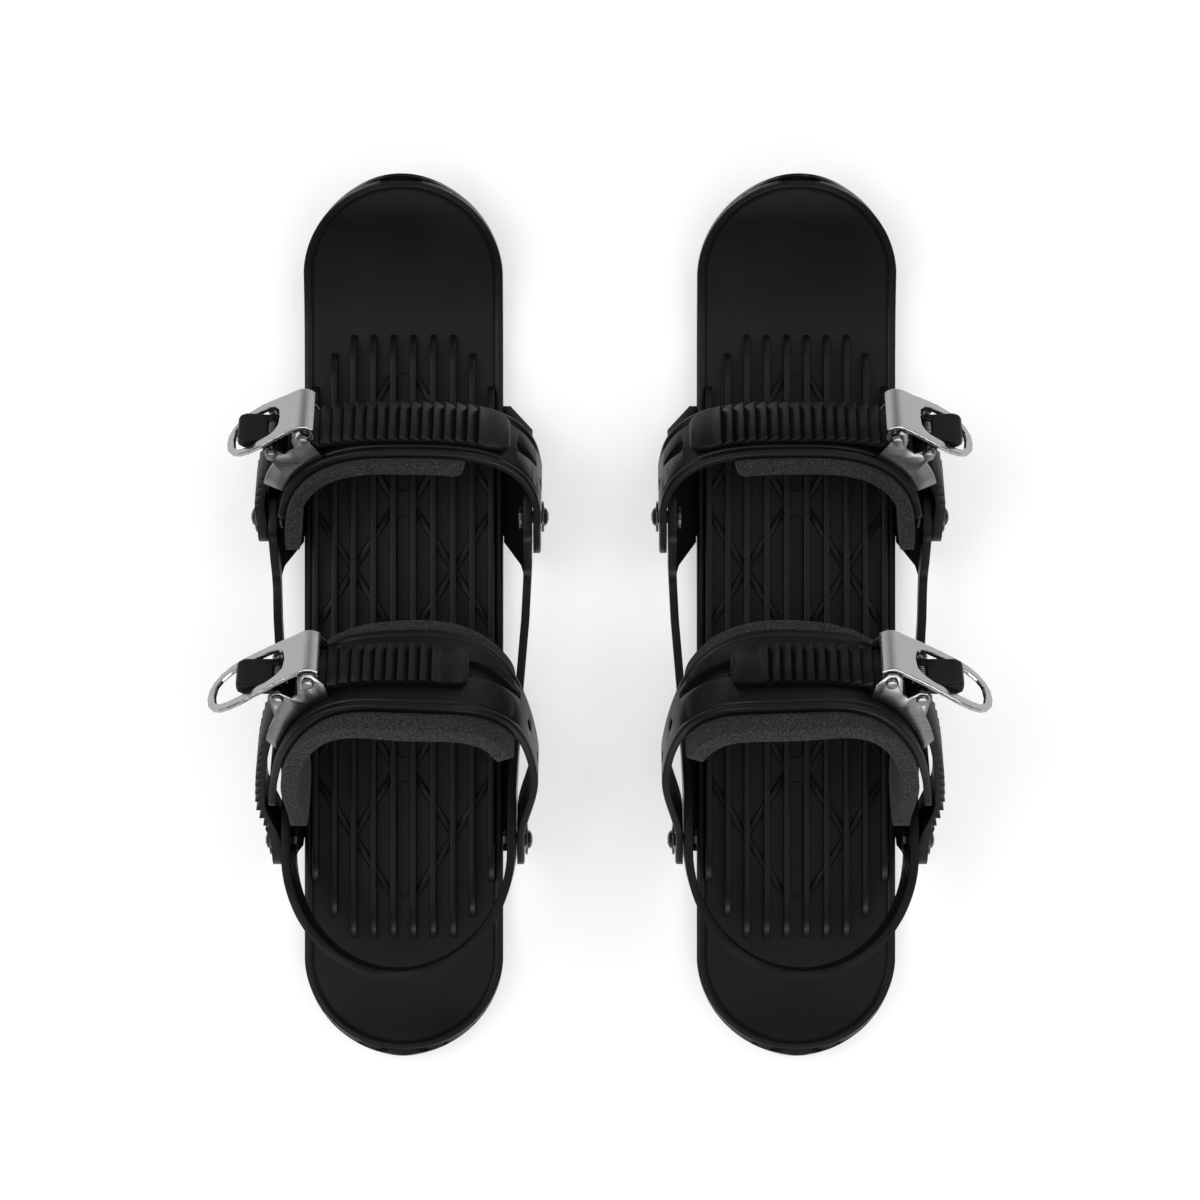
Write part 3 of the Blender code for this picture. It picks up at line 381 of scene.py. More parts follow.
def stretchedDisc(name, height):
    deselect()
    bpy.ops.mesh.primitive_circle_add(vertices=board["sides"], radius=board["width"] / 2, fill_type="NGON",
                                      location=(0.0, 0.0, 0.0))
    disc = bpy.context.object
    disc.name = name
    reach = (board["length"] - board["width"]) / 2
    for way in (1, -1):
        pick(disc, lambda co: co.y * way > nearly)
        bpy.ops.transform.translate(value=(0.0, way * reach, 0.0))
        leave()
    pickAll(disc)
    bpy.ops.transform.translate(value=(0.0, 0.0, height))
    leave()
    return disc


def raiseRim(disc, wall, rim):
    # The disc goes up by its wall, and its top steps in over the rim
    pickAll(disc)
    bpy.ops.mesh.extrude_region_move(TRANSFORM_OT_translate={"value": (0.0, 0.0, wall)})
    for inward, up in rim:
        bpy.ops.mesh.inset(thickness=inward, depth=up)
    leave()


def shortenEnds(piece, test, tip, tail):
    # A tip that curves up looks shorter from above, so its round end is pressed in
    reach = (board["length"] - board["width"]) / 2
    for way, share in ((1, tip), (-1, tail)):
        pick(piece, lambda co: co.y * way > reach and test(co))
        bpy.ops.transform.resize(value=(1.0, share, 1.0), center_override=(0.0, way * reach, 0.0))
        leave()


def cutAcross(piece):
    for first, last, count in (board["cutsFront"], board["cutsRear"]):
        for step in range(count + 1):
            pickAll(piece)
            place = first + (last - first) * step / count
            bpy.ops.mesh.bisect(plane_co=(0.0, place, 0.0), plane_no=(0.0, 1.0, 0.0))
            leave()


# Rim: how far in and how far up each step goes. Split: the level between the upper and the lower points
soleShape = {"lip": 0.0012, "rim": [(0.0003, 0.0007), (0.0005, 0.0004), (0.0006, 0.0001)], "split": 0.0045,
             "upperEnds": (0.9605, 0.9767), "lowerEnds": (0.990, 0.990), "seam": 0.0002,
             "notchLevel": 0.0065, "notchWidth": 0.10, "notchDepth": 0.0070,
             "notches": [(0.0633, 0.0570), (-0.06275, 0.0665)]}
deckShape = {"wall": 0.0028, "rim": [(0.0002, 0.0005), (0.0004, 0.0003), (0.0008, 0.0002), (0.0012, 0.0),
                                     (0.0007, -0.0003), (0.0003, -0.0009), (0.0004, 0.0), (0.0003, 0.0004)],
             "split": 0.007, "upperEnds": (0.9155, 0.925), "lowerEnds": (0.9535, 0.972)}


def runningSole():
    # Upside down at first, so that its rounded lower edge is inset from a free face
    sole = stretchedDisc("sole", 0.0)
    raiseRim(sole, board["parting"] - soleShape["lip"], soleShape["rim"])
    pickAll(sole)
    bpy.ops.transform.resize(value=(1.0, 1.0, -1.0), center_override=(0.0, 0.0, 0.0))
    bpy.ops.transform.translate(value=(0.0, 0.0, board["parting"]))
    leave()
    tidyMesh(sole)
    split = soleShape["split"]
    shortenEnds(sole, lambda co: co.z > split, *soleShape["upperEnds"])
    shortenEnds(sole, lambda co: co.z <= split, *soleShape["lowerEnds"])
    cutAcross(sole)
    base = heightLine("Base")
    parting = heightLine("Parting")
    for vertex in sole.data.vertices:
        if vertex.co.z > split:
            vertex.co.z = readLine(parting, vertex.co.y) - soleShape["seam"]
        else:
            vertex.co.z += readLine(base, vertex.co.y)
    width, depth = soleShape["notchWidth"], soleShape["notchDepth"]
    carve(sole, [addBlock((0.0, place, soleShape["notchLevel"]), (width, length, depth))
                 for place, length in soleShape["notches"]])
    return sole


def deckBlank():
    deck = stretchedDisc("deck", board["parting"])
    raiseRim(deck, deckShape["wall"], deckShape["rim"])
    tidyMesh(deck)
    split = deckShape["split"]
    shortenEnds(deck, lambda co: co.z > split, *deckShape["upperEnds"])
    shortenEnds(deck, lambda co: co.z <= split, *deckShape["lowerEnds"])
    cutAcross(deck)
    parting = heightLine("Parting")
    top = heightLine("Top")
    for vertex in deck.data.vertices:
        if vertex.co.z > split:
            vertex.co.z += readLine(top, vertex.co.y) - board["top"]
        else:
            vertex.co.z = readLine(parting, vertex.co.y)
    return deck


# Each row of ribs: its distance from the middle, its front end and its rear end
ribs = {"width": 0.0026, "top": 0.0163, "foot": 0.0080, "frontRamp": 0.0137, "rearRamp": 0.0160,
        "rampShare": 0.96, "rampSteps": 7, "bevel": (0.0005, 3, 40.0),
        "rows": [(0.0043, 0.1225, -0.1394), (0.0129, 0.1225, -0.1394), (0.0215, 0.1225, -0.1394),
                 (0.0298, 0.1145, -0.1303), (0.0380, 0.1000, -0.1152)]}


def deckRib(side, front, rear):
    # A bar whose top edges are rounded far down at both ends, then drawn out into ramps
    high = ribs["top"] - ribs["foot"]
    rounding = high * ribs["rampShare"]
    bar = addBlock((side, (front + rear) / 2, ribs["foot"] + high / 2), (ribs["width"], front - rear, high))
    for end, ramp in ((front, ribs["frontRamp"]), (rear, -ribs["rearRamp"])):
        pick(bar, lambda co: abs(co.y - end) < nearly and co.z > ribs["top"] - nearly)
        bpy.ops.mesh.bevel(offset=rounding, segments=ribs["rampSteps"], affect="EDGES")
        leave()
        turn = end - math.copysign(rounding, ramp)
        drawn = abs(ramp) / rounding
        pick(bar, lambda co: (co.y - turn) * math.copysign(1.0, ramp) > -nearly)
        bpy.ops.transform.resize(value=(1.0, drawn, 1.0), center_override=(0.0, end, 0.0))
        leave()
    bevel(bar, *ribs["bevel"])
    applyModifiers(bar)
    return bar


# Bars cross between the ribs, and a narrow groove runs along both sides of each
lattice = {"width": 0.0025, "low": 0.0082, "high": 0.0102, "bevel": (0.0002, 2, 40.0),
           "crossings": (0.078, 0.0204, -0.0372, -0.0948), "centre": 0.0218, "arm": (0.0165, 0.0257),
           "outerReach": 0.100, "overlap": 0.0010}
grooves = {"gap": 0.0005, "pit": 0.0076, "floor": 0.0088, "above": 0.004, "floorDepth": 0.002}
# Nodes stand in the middle of the deck, with a long oval between each two
nodes = {"places": (0.0492, -0.0084, -0.0660), "ends": (0.1025, -0.1182), "length": 0.0160, "width": 0.0066,
         "ovalRadius": 0.0031, "ovalStep": 0.0081, "dotRadius": 0.0009, "dotSides": 16, "drill": 0.01}


def latticeBars(gap=0.0, low=lattice["low"], high=lattice["high"]):
    # Four arms leave each crossing, but the outer ones stop where the ribs do
    bars = []
    across, along = lattice["arm"]
    length = math.hypot(across, along)
    size = (lattice["width"] + 2 * gap, length + lattice["overlap"], high - low)
    middle = (high + low) / 2
    for place in lattice["crossings"]:
        for side in (-1, 1):
            for ahead in (-1, 1):
                for outward in (-1, 1):
                    if outward > 0 and abs(place + ahead * along) > lattice["outerReach"]:
                        continue
                    tip = Vector((outward * side * across, ahead * along))
                    centre = Vector((side * lattice["centre"], place)) + tip / 2
                    turn = -math.atan2(tip.x, tip.y)
                    bars.append(addBlock((*centre, middle), size, turn))
    return bars


def centreNodes():
    middle = (lattice["high"] + lattice["low"]) / 2
    size = (nodes["width"], nodes["length"], lattice["high"] - lattice["low"])
    blocks = []
    for place in nodes["places"]:
        block = addBlock((0.0, place, middle), size)
        drills = []
        for way in (1, -1):
            spot = (0.0, place + way * nodes["ovalStep"], middle)
            drills.append(addDrill(spot, nodes["ovalRadius"], nodes["drill"]))
        for way in (1, -1):
            spot = (way * nodes["width"] / 2, place, middle)
            drills.append(addDrill(spot, nodes["dotRadius"], nodes["drill"], nodes["dotSides"]))
        carve(block, drills)
        blocks.append(block)
    return blocks


def addOval(front, rear, radius, low, high):
    middle = (front + rear) / 2
    oval = addDrill((0.0, middle, (low + high) / 2), radius, high - low)
    for way in (1, -1):
        pick(oval, lambda co: (co.y - middle) * way > nearly)
        bpy.ops.transform.translate(value=(0.0, way * (front - rear) / 2, 0.0))
        leave()
    return oval


def grooveDeck(deck):
    # The grooves follow the bars and the ovals, and the floors of the ovals are put back
    gap, pit, floor = grooves["gap"], grooves["pit"], grooves["floor"]
    above = floor + grooves["above"]
    cutters = latticeBars(gap, pit, above)
    floors = []
    stops = [place + way * nodes["ovalStep"] for place in nodes["places"] for way in (1, -1)]
    stops = [nodes["ends"][0], *stops, nodes["ends"][1]]
    for front, rear in zip(stops[::2], stops[1::2]):
        cutters.append(addOval(front, rear, nodes["ovalRadius"], pit, above))
        floors.append(addOval(front, rear, nodes["ovalRadius"] - gap, floor - grooves["floorDepth"], floor))
    carve(deck, [joinAll(cutters, "grooves")], True)
    return floors


def buildBoards():
    deck = deckBlank()
    details = grooveDeck(deck)
    print("deck grooved")
    bars = latticeBars()
    for bar in bars:
        bevel(bar, *lattice["bevel"])
        applyModifiers(bar)
    details += bars + centreNodes()
    for side, front, rear in ribs["rows"]:
        details += [deckRib(side, front, rear), deckRib(-side, front, rear)]
    finishPair(joinAll([deck, *details], "deck"), "ribbed_deck")
    finishPair(runningSole(), "sole_plate")
    print("boards built")


# Straps: modelled flat, then bent round their arch and leaned as the strap stands

# A strap stands on its pivot (along the board, up) and leans forward, and the rest lies in its own plane.
# Halves of an arch, the inner one first: width, how square it is, width at the foot, and the two levels
# between which it widens. Shell widths: share of its length, half width. Pad widths: share of its length,
# half width at its lower and at its upper edge. Beads: the shares where they start, are full, fade and end.
# Release pin and lever way: across and up the strap
straps = {
    "toe": {"pivot": (0.0429, 0.0343), "lean": 46.5, "height": 0.0506,
            "shell": [(0.0576, 3.3, 0.0566, 0.006, 0.018), (0.0489, 2.6, 0.0489, 0.008, 0.030)],
            "ladder": [(0.0612, 3.3, 0.0612, 0.008, 0.030), (0.0574, 3.1, 0.0564, 0.006, 0.018)],
            "pad": [(0.0571, 3.3, 0.0571, 0.008, 0.030), (0.0484, 2.6, 0.0484, 0.008, 0.030)],
            "lugRadius": 0.0156, "shellEnd": 0.013, "shellWidths": [(0.0, 0.0156), (1.0, 0.0156)],
            "shellHoles": [0.0187], "holeRadius": 0.0030, "beads": (0.20, 0.28, 0.90, 0.97),
            "slot": {"side": 0.0525, "length": 0.015, "width": 0.0070, "tilt": 14.0, "across": -0.0005,
                     "lift": 0.0041},
            "padThick": 0.0062, "padInnerEnd": 0.029, "padOuterEnd": -0.0047,
            "padWidths": [(0.0, 0.0180, 0.0199), (1.0, 0.0177, 0.0180)],
            "ladderTip": 0.0465, "lastTooth": 0.0385, "firstTooth": 0.016, "pinSide": 0.0350,
            "releasePin": (-0.05183, 0.05038), "leverWay": (-0.8702, -0.4927)},
    "ankle": {"pivot": (-0.0946, 0.0402), "lean": 44.1, "height": 0.1001,
              "shell": [(0.0574, 3.6, 0.0498, 0.008, 0.050), (0.0514, 2.9, 0.0514, 0.008, 0.030)],
              "ladder": [(0.0610, 3.6, 0.0610, 0.008, 0.050), (0.0556, 3.3, 0.0498, 0.008, 0.034)],
              "pad": [(0.0569, 3.6, 0.0569, 0.008, 0.050), (0.0508, 2.9, 0.0446, 0.026, 0.062)],
              "lugRadius": 0.0106, "shellEnd": 0.034,
              "shellWidths": [(0.0, 0.0106), (0.27, 0.0106), (0.55, 0.0228), (0.75, 0.0205), (1.0, 0.0140)],
              "shellHoles": [0.0163, 0.0332, 0.0505, 0.0689], "holeRadius": 0.0027,
              "beads": (0.36, 0.42, 0.86, 0.95),
              "slot": {"side": 0.0405, "length": 0.031, "width": 0.0110, "tilt": 12.0, "across": -0.0025,
                       "lift": 0.0040},
              "padThick": 0.0072, "padInnerEnd": 0.050, "padOuterEnd": 0.026,
              "padWidths": [(0.0, 0.0270, 0.0270), (0.30, 0.0320, 0.0320), (0.75, 0.0230, 0.0230),
                            (1.0, 0.0190, 0.0190)],
              "ladderTip": 0.031, "lastTooth": 0.0195, "firstTooth": 0.018, "pinSide": 0.0295,
              "releasePin": (-0.04627, 0.09834), "leverWay": (-0.8568, -0.5156)},
}
# How far each kind's band lies off the arch, how far it hangs below the pivot, and what the kinds share
arch = {"lifts": {"shell": 0.0, "ladder": 0.0036, "pad": -0.0005}, "padDrop": 0.010, "steps": 120,
        "pivotBore": 0.0031, "drill": 0.02, "blank": 0.004}


def ease(value):
    value = min(max(value, 0.0), 1.0)
    return value * value * (3 - 2 * value)


def archPoints(halves, height, drop):
    line = []
    for (width, power, waist, level, belly), way in zip(halves, (1, -1)):
        side = [Vector((way * waist, -drop))]
        for step in range(arch["steps"] + 1):
            share = step / arch["steps"]
            turn = math.pi / 2 * share ** 2 / (share ** 2 + (1 - share) ** 2)
            rise = height * math.sin(turn) ** (2 / power)
            reach = waist + (width - waist) * ease((rise - level) / (belly - level))
            side.append(Vector((way * reach * math.cos(turn) ** (2 / power), rise)))
        line += side if way > 0 else side[-2::-1]
    return line


def measureLine(points):
    lengths = [0.0]
    for before, after in zip(points, points[1:]):
        lengths.append(lengths[-1] + (after - before).length)
    return lengths


def between(value, knots, results, bend=lambda share: share):
    # Straight interpolation over rising knots, unless the bend eases each stretch
    if value <= knots[0]:
        return results[0]
    for index in range(1, len(knots)):
        if value <= knots[index]:
            share = bend((value - knots[index - 1]) / max(knots[index] - knots[index - 1], smallest))
            return results[index - 1] + (results[index] - results[index - 1]) * share
    return results[-1]


def strapLine(strap, kind):
    drops = {"shell": strap["lugRadius"], "ladder": ladderShape["half"], "pad": arch["padDrop"]}
    points = archPoints(strap[kind], strap["height"] + arch["lifts"][kind], drops[kind])
    return points, measureLine(points)


def lengthAtHeight(points, lengths, rise, outer):
    half = len(points) // 2
    if outer:
        return between(-rise, [-point.y for point in points[half:]], lengths[half:])
    return between(rise, [point.y for point in points[:half]], lengths[:half])


def lengthAtSide(points, lengths, side):
    return between(-side, [-point.x for point in points], lengths)


def leanOver(piece, strap):
    lean = Matrix.Rotation(math.radians(strap["lean"]), 4, "X")
    piece.data.transform(Matrix.Translation((0.0, *strap["pivot"])) @ lean)


def bendRound(piece, points, strap):
    # The flat piece has its length along X, its width along Y and its lift along Z
    line = bpy.data.curves.new("arch", "CURVE")
    line.dimensions = "2D"
    spline = line.splines.new("POLY")
    spline.points.add(len(points) - 1)
    for knot, point in zip(spline.points, points):
        knot.co = (point.x, point.y, 0.0, 1.0)
    guide = bpy.data.objects.new("arch", line)
    bpy.context.scene.collection.objects.link(guide)
    piece.data.transform(Matrix.Rotation(math.radians(90.0), 4, "X"))
    modifier = piece.modifiers.new("Curve", "CURVE")
    modifier.object = guide
    modifier.deform_axis = "POS_X"
    applyModifiers(piece)
    bpy.data.objects.remove(guide)
    leanOver(piece, strap)


def flatGrid(name, stations, rows, place):
    # A grid whose columns stand at the stations; place turns a station and a row into a point
    deselect()
    bpy.ops.mesh.primitive_grid_add(x_subdivisions=len(stations) - 1, y_subdivisions=len(rows) - 1, size=1.0)
    grid = bpy.context.object
    grid.name = name
    for vertex in grid.data.vertices:
        column = round((vertex.co.x + 0.5) * (len(stations) - 1))
        row = round((vertex.co.y + 0.5) * (len(rows) - 1))
        vertex.co = place(stations[column], rows[row])
    return grid


def thicken(piece, depth, level):
    # Extrudes the whole sheet down and flattens its underside
    pickAll(piece)
    bpy.ops.mesh.extrude_region_move(TRANSFORM_OT_translate={"value": (0.0, 0.0, -depth)})
    bpy.ops.transform.resize(value=(1.0, 1.0, 0.0), center_override=(0.0, 0.0, level))
    leave()
    tidyMesh(piece)


def evenSteps(first, last, spacing):
    count = max(2, math.ceil((last - first) / spacing))
    return [first + (last - first) * step / count for step in range(count + 1)]


def arcSteps(radius, turns):
    # Distances in from a round end, closer together near it
    return [radius * (1 - math.cos(math.radians(turn))) for turn in turns]


def halfWidth(radius, away):
    # Half the width of a round end, at a distance away from its centre
    return math.sqrt(max(radius ** 2 - away ** 2, 0.0))


def cornerTrim(near, corner):
    # How far a rounded corner draws the edge in, this near to the end
    return corner - halfWidth(corner, corner - min(near, corner))


# Distance in from the edge and lift of each row of the shell's top, on the beads and away from them
beadRows = [(0.0, 0.0024), (0.0004, 0.0031), (0.0011, 0.0035), (0.0021, 0.0035), (0.0028, 0.0031),
            (0.0033, 0.0024), (0.0041, 0.0024), (0.0046, 0.0030)]
plainRows = [(0.0, 0.0024), (0.0004, 0.0029), (0.0011, 0.0031), (0.0021, 0.0031), (0.0028, 0.0031),
             (0.0033, 0.0031), (0.0041, 0.0031), (0.0046, 0.0031)]
shellShape = {"start": 0.0002, "corner": 0.003, "spacing": 0.0016, "endSteps": (0.0018, 0.0008, 0.0002, 0.0),
              "arc": range(6, 90, 7), "crown": 0.0031, "dip": 0.0001, "fullHalf": 0.007,
              "bevel": (0.0003, 2, 48.0)}
slotShape = {"high": 0.004, "narrow": 0.3, "bevel": (0.0012, 3, 50.0)}


def slotCutter(slot, points, lengths):
    # A wedge that is deep along one long edge and runs out at the other
    length = lengthAtSide(points, lengths, slot["side"])
    wedge = addBlock((0.0, 0.0, 0.0), (slot["length"], slot["width"], slotShape["high"]))
    edge = (0.0, -slot["width"] / 2, 0.0)
    pick(wedge, lambda co: co.x < 0)
    bpy.ops.transform.resize(value=(1.0, slotShape["narrow"], 1.0), center_override=edge)
    leave()
    bevel(wedge, *slotShape["bevel"])
    applyModifiers(wedge)
    tilt = Matrix.Rotation(math.radians(slot["tilt"]), 4, "X")
    wedge.data.transform(Matrix.Translation((length, slot["across"], slot["lift"])) @ tilt)
    return wedge


def strapShell(strap, name):
    points, lengths = strapLine(strap, "shell")
    start = shellShape["start"]
    end = lengthAtHeight(points, lengths, strap["shellEnd"], True)
    radius = strap["lugRadius"]
    stations = arcSteps(radius, shellShape["arc"])
    stations += evenSteps(radius, end - shellShape["corner"], shellShape["spacing"])
    stations += [end - step for step in shellShape["endSteps"]]
    count = len(beadRows)
    rows = list(range(-count, count + 1))
    beadStart, beadFull, beadFade, beadEnd = strap["beads"]

    def place(length, row):
        share = (length - start) / (end - start)
        half = between(share, *zip(*strap["shellWidths"]), ease)
        if length < radius:
            half = halfWidth(radius, radius - length)
        half -= cornerTrim(end - length, shellShape["corner"])
        rise = ease((share - beadStart) / (beadFull - beadStart))
        rise *= ease((beadEnd - share) / (beadEnd - beadFade))
        if row == 0:
            return (length, 0.0, shellShape["crown"] - shellShape["dip"] * rise)
        inward, lift = beadRows[count - abs(row)]
        level = plainRows[count - abs(row)][1]
        inward *= min(1.0, half / shellShape["fullHalf"])
        return (length, math.copysign(half - inward, row), level + (lift - level) * rise)
    shell = flatGrid(name, stations, rows, place)
    thicken(shell, arch["blank"], 0.0)
    drills = [addDrill((radius, 0.0, 0.0), arch["pivotBore"], arch["drill"])]
    for rise in strap["shellHoles"]:
        length = lengthAtHeight(points, lengths, rise, False)
        drills.append(addDrill((length, 0.0, 0.0), strap["holeRadius"], arch["drill"]))
    drills.append(slotCutter(strap["slot"], points, lengths))
    carve(shell, drills)
    bevel(shell, *shellShape["bevel"])
    applyModifiers(shell)
    bendRound(shell, points, strap)
    return shell


padShape = {"corner": 0.005, "spacing": 0.0025, "startArc": range(10, 90, 16), "endArc": range(74, 0, -16),
            "rows": [-1.0, -0.93, -0.8, -0.6, -0.3, 0.0, 0.3, 0.6, 0.8, 0.93, 1.0], "swell": 0.0006,
            "bevel": (0.0014, 4, 50.0), "fill": 0.9}


def strapPad(strap, name):
    points, lengths = strapLine(strap, "pad")
    start = lengthAtSide(points, lengths, strap["padInnerEnd"])
    end = lengthAtHeight(points, lengths, strap["padOuterEnd"], True)
    corner = padShape["corner"]
    stations = [start + step for step in arcSteps(corner, padShape["startArc"])]
    stations += evenSteps(start + corner, end - corner, padShape["spacing"])
    stations += [end - step for step in arcSteps(corner, padShape["endArc"])]
    knots, lower, upper = zip(*strap["padWidths"])

    def place(length, row):
        share = (length - start) / (end - start)
        trim = cornerTrim(min(length - start, end - length), corner)
        half = between(share, knots, lower if row < 0 else upper, ease) - trim
        return (length, row * half, 0.0)
    pad = flatGrid(name, stations, padShape["rows"], place)
    thicken(pad, strap["padThick"], -strap["padThick"])
    # The inner face swells a little between its edges
    for vertex in pad.data.vertices:
        if vertex.co.z < -strap["padThick"] / 2:
            share = (vertex.co.x - start) / (end - start)
            half = between(share, knots, lower, ease)
            vertex.co.z += padShape["swell"] * (vertex.co.y / half) ** 2
    bevel(pad, *padShape["bevel"])
    applyModifiers(pad)
    bendRound(pad, points, strap)
    return pad


# Teeth and tip: how far along and how high in teeth, from a tooth's foot and from the last tooth
ladderShape = {"half": 0.0106, "tipHalf": 0.0092, "base": 0.0026, "valley": -0.6875, "tooth": 0.0016,
               "pitch": 0.0046, "face": 0.0003, "slope": [(0.35, 0.60), (0.7, 0.0)], "corner": 0.004,
               "tip": [(0.0, 0.0), (0.25, 0.3), (0.5, 0.45), (0.7, 0.4), (0.85, 0.2), (0.95, -0.1),
                       (1.0, -0.5)],
               "spacing": 0.002, "arc": range(8, 91, 9), "bevel": (0.00018, 2, 42.0)}


def ladderStrap(strap, name):
    points, lengths = strapLine(strap, "ladder")
    tip = lengthAtSide(points, lengths, strap["ladderTip"])
    radius = ladderShape["half"]
    total = lengths[-1]
    pivot = total - radius
    pin = lengthAtSide(points, lengths, -strap["pinSide"])
    pitch = ladderShape["pitch"]
    valley = pin + pitch * math.floor((pivot - strap["firstTooth"] - pin) / pitch)
    count = round((valley - lengthAtSide(points, lengths, strap["lastTooth"])) / pitch)
    heights = {total - step: 1.0 for step in arcSteps(radius, ladderShape["arc"])}
    spacing = ladderShape["spacing"]
    for length in evenSteps(valley + spacing, pivot, spacing)[:-1]:
        heights[length] = 1.0
    for tooth in range(count):
        foot = valley - tooth * pitch
        heights[foot] = ladderShape["valley"]
        heights[foot - ladderShape["face"]] = 1.0
        for share, height in ladderShape["slope"]:
            heights[foot - pitch * share] = height
    last = valley - count * pitch
    for share, height in ladderShape["tip"]:
        heights[last + (tip - last) * share] = height

    def place(length, row):
        half = radius
        if length > pivot:
            half = halfWidth(radius, length - pivot)
        if length < last:
            half += (ladderShape["tipHalf"] - radius) * (last - length) / (last - tip)
            half -= cornerTrim(length - tip, ladderShape["corner"])
        return (length, row * half, ladderShape["base"] + ladderShape["tooth"] * heights[length])
    ladder = flatGrid(name, sorted(heights), [-1.0, 0.0, 1.0], place)
    thicken(ladder, arch["blank"], 0.0)
    carve(ladder, [addDrill((pivot, 0.0, 0.0), arch["pivotBore"], arch["drill"])])
    bevel(ladder, *ladderShape["bevel"])
    applyModifiers(ladder)
    bendRound(ladder, points, strap)
    return ladder


coil = {"wire": 0.0004, "radius": 0.0026, "turns": 6, "pitch": 0.0011, "sides": 8, "steps": 20}


def releaseSpring(strap, name):
    deselect()
    start = (coil["radius"], 0.0, -coil["turns"] * coil["pitch"] / 2)
    bpy.ops.mesh.primitive_circle_add(vertices=coil["sides"], radius=coil["wire"], location=start,
                                      rotation=(math.pi / 2, 0.0, 0.0))
    spring = bpy.context.object
    spring.name = name
    bpy.ops.object.transform_apply(location=True, rotation=True, scale=True)
    modifier = spring.modifiers.new("Screw", "SCREW")
    modifier.axis = "Z"
    modifier.angle = 2 * math.pi
    modifier.screw_offset = coil["pitch"]
    modifier.iterations = coil["turns"]
    modifier.steps = coil["steps"]
    modifier.render_steps = coil["steps"]
    applyModifiers(spring)
    pickAll(spring)
    bpy.ops.mesh.fill_holes(sides=0)
    leave()
    tidyMesh(spring)
    spring.data.transform(Matrix.Translation((*strap["releasePin"], 0.0)))
    leanOver(spring, strap)
    return spring


def buildStraps():
    for name, strap in straps.items():
        finishPair(strapShell(strap, name + "Shell"), name + "_strap_shell")
        finishPair(ladderStrap(strap, name + "Ladder"), name + "_ladder_strap")
        for pad in finishPair(strapPad(strap, name + "Pad"), name + "_strap_pad"):
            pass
        finishPair(releaseSpring(strap, name + "Spring"), name + "_release_spring")
        print(name + " strap bent")


# Copies of the frame's own solids, with their edges broken

# Points nearer than this are merged, and flat joins below this angle go
plainShape = {"merge": 0.000002, "flat": 0.6}
# Width and segments of the broken edges, by how a node's name ends
edges = {"binding_frame": (0.0006, 3), "buckle_base": (0.0003, 2), "drive_pawl": (0.0002, 1),
         "pivot_rivet": (0.0003, 2), "_pin": (0.0002, 2), "buckle_rivet": (0.0002, 2)}


def plainCopy(node):
    piece = copyPiece(frame["nodes"][node], node + "_dressed")
    piece.parent = None
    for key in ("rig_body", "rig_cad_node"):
        if key in piece:
            del piece[key]
    pickAll(piece)
    bpy.ops.mesh.remove_doubles(threshold=plainShape["merge"])
    bpy.ops.mesh.dissolve_limited(angle_limit=math.radians(plainShape["flat"]))
    leave()
    return piece


# Heel loop: the solid has chords in place of its true round
heelLoop = {"centre": -0.098, "across": 0.0493, "along": 0.053, "chords": 12, "cuts": 36}


def chordReach(turn, spot):
    # Distance from the loop's centre to its chord in one direction
    step = math.pi / heelLoop["chords"]
    first = math.floor(spot / step) * step
    start, end = (Vector((heelLoop["across"] * math.cos(place), heelLoop["along"] * math.sin(place)))
                  for place in (first, first + step))
    way = Vector((math.cos(turn), math.sin(turn)))
    run = end - start
    return (start.x * run.y - start.y * run.x) / (way.x * run.y - way.y * run.x)


def roundHeel(piece, side):
    # The chords are cut finer and pushed out to the true round
    middle = -sides[side] * skateSpacing / 2
    centre = heelLoop["centre"]
    for cut in range(heelLoop["cuts"] + 1):
        turn = math.pi * cut / heelLoop["cuts"]
        normal = (math.sin(turn), math.cos(turn), 0.0)
        pick(piece, lambda co: co.y < centre + nearly)
        bpy.ops.mesh.bisect(plane_co=(middle, centre, 0.0), plane_no=normal)
        leave()
    for vertex in piece.data.vertices:
        across, along = vertex.co.x - middle, centre - vertex.co.y
        if along < nearly:
            continue
        turn = math.atan2(along, across)
        spot = math.atan2(math.sin(turn) / heelLoop["along"], math.cos(turn) / heelLoop["across"])
        reach = math.hypot(heelLoop["across"] * math.cos(spot), heelLoop["along"] * math.sin(spot))
        swell = reach - chordReach(turn, spot)
        vertex.co.x += swell * math.cos(turn)
        vertex.co.y -= swell * math.sin(turn)


def brokenEdges(node):
    piece = plainCopy(node)
    if node.endswith("binding_frame"):
        roundHeel(piece, node.split("_")[0])
    width, segments = next(edges[ending] for ending in edges if node.endswith(ending))
    bevel(piece, width, segments)
    applyModifiers(piece)
    finishPiece(piece, node, "plain")


# Cast pieces, whose edges are run over as if they had been tumbled
castShapes = {"buckle_lever": {"grain": 0.00024, "passes": 9}, "release_tab": {"grain": 0.00030, "passes": 6}}
relaxing = 0.5


def buckleTurn(node):
    # Lays a buckle flat, so that its lever's plate meets the grid of the remesh squarely
    side, name = node.split("_")[:2]
    across, rise = straps[name]["leverWay"]
    lean = math.radians(straps[name]["lean"])
    along = Vector((sides[side] * across, rise * math.cos(lean), rise * math.sin(lean))).normalized()
    wide = Vector((0.0, -math.sin(lean), math.cos(lean)))
    return Matrix((along, wide.cross(along), wide)).to_4x4()


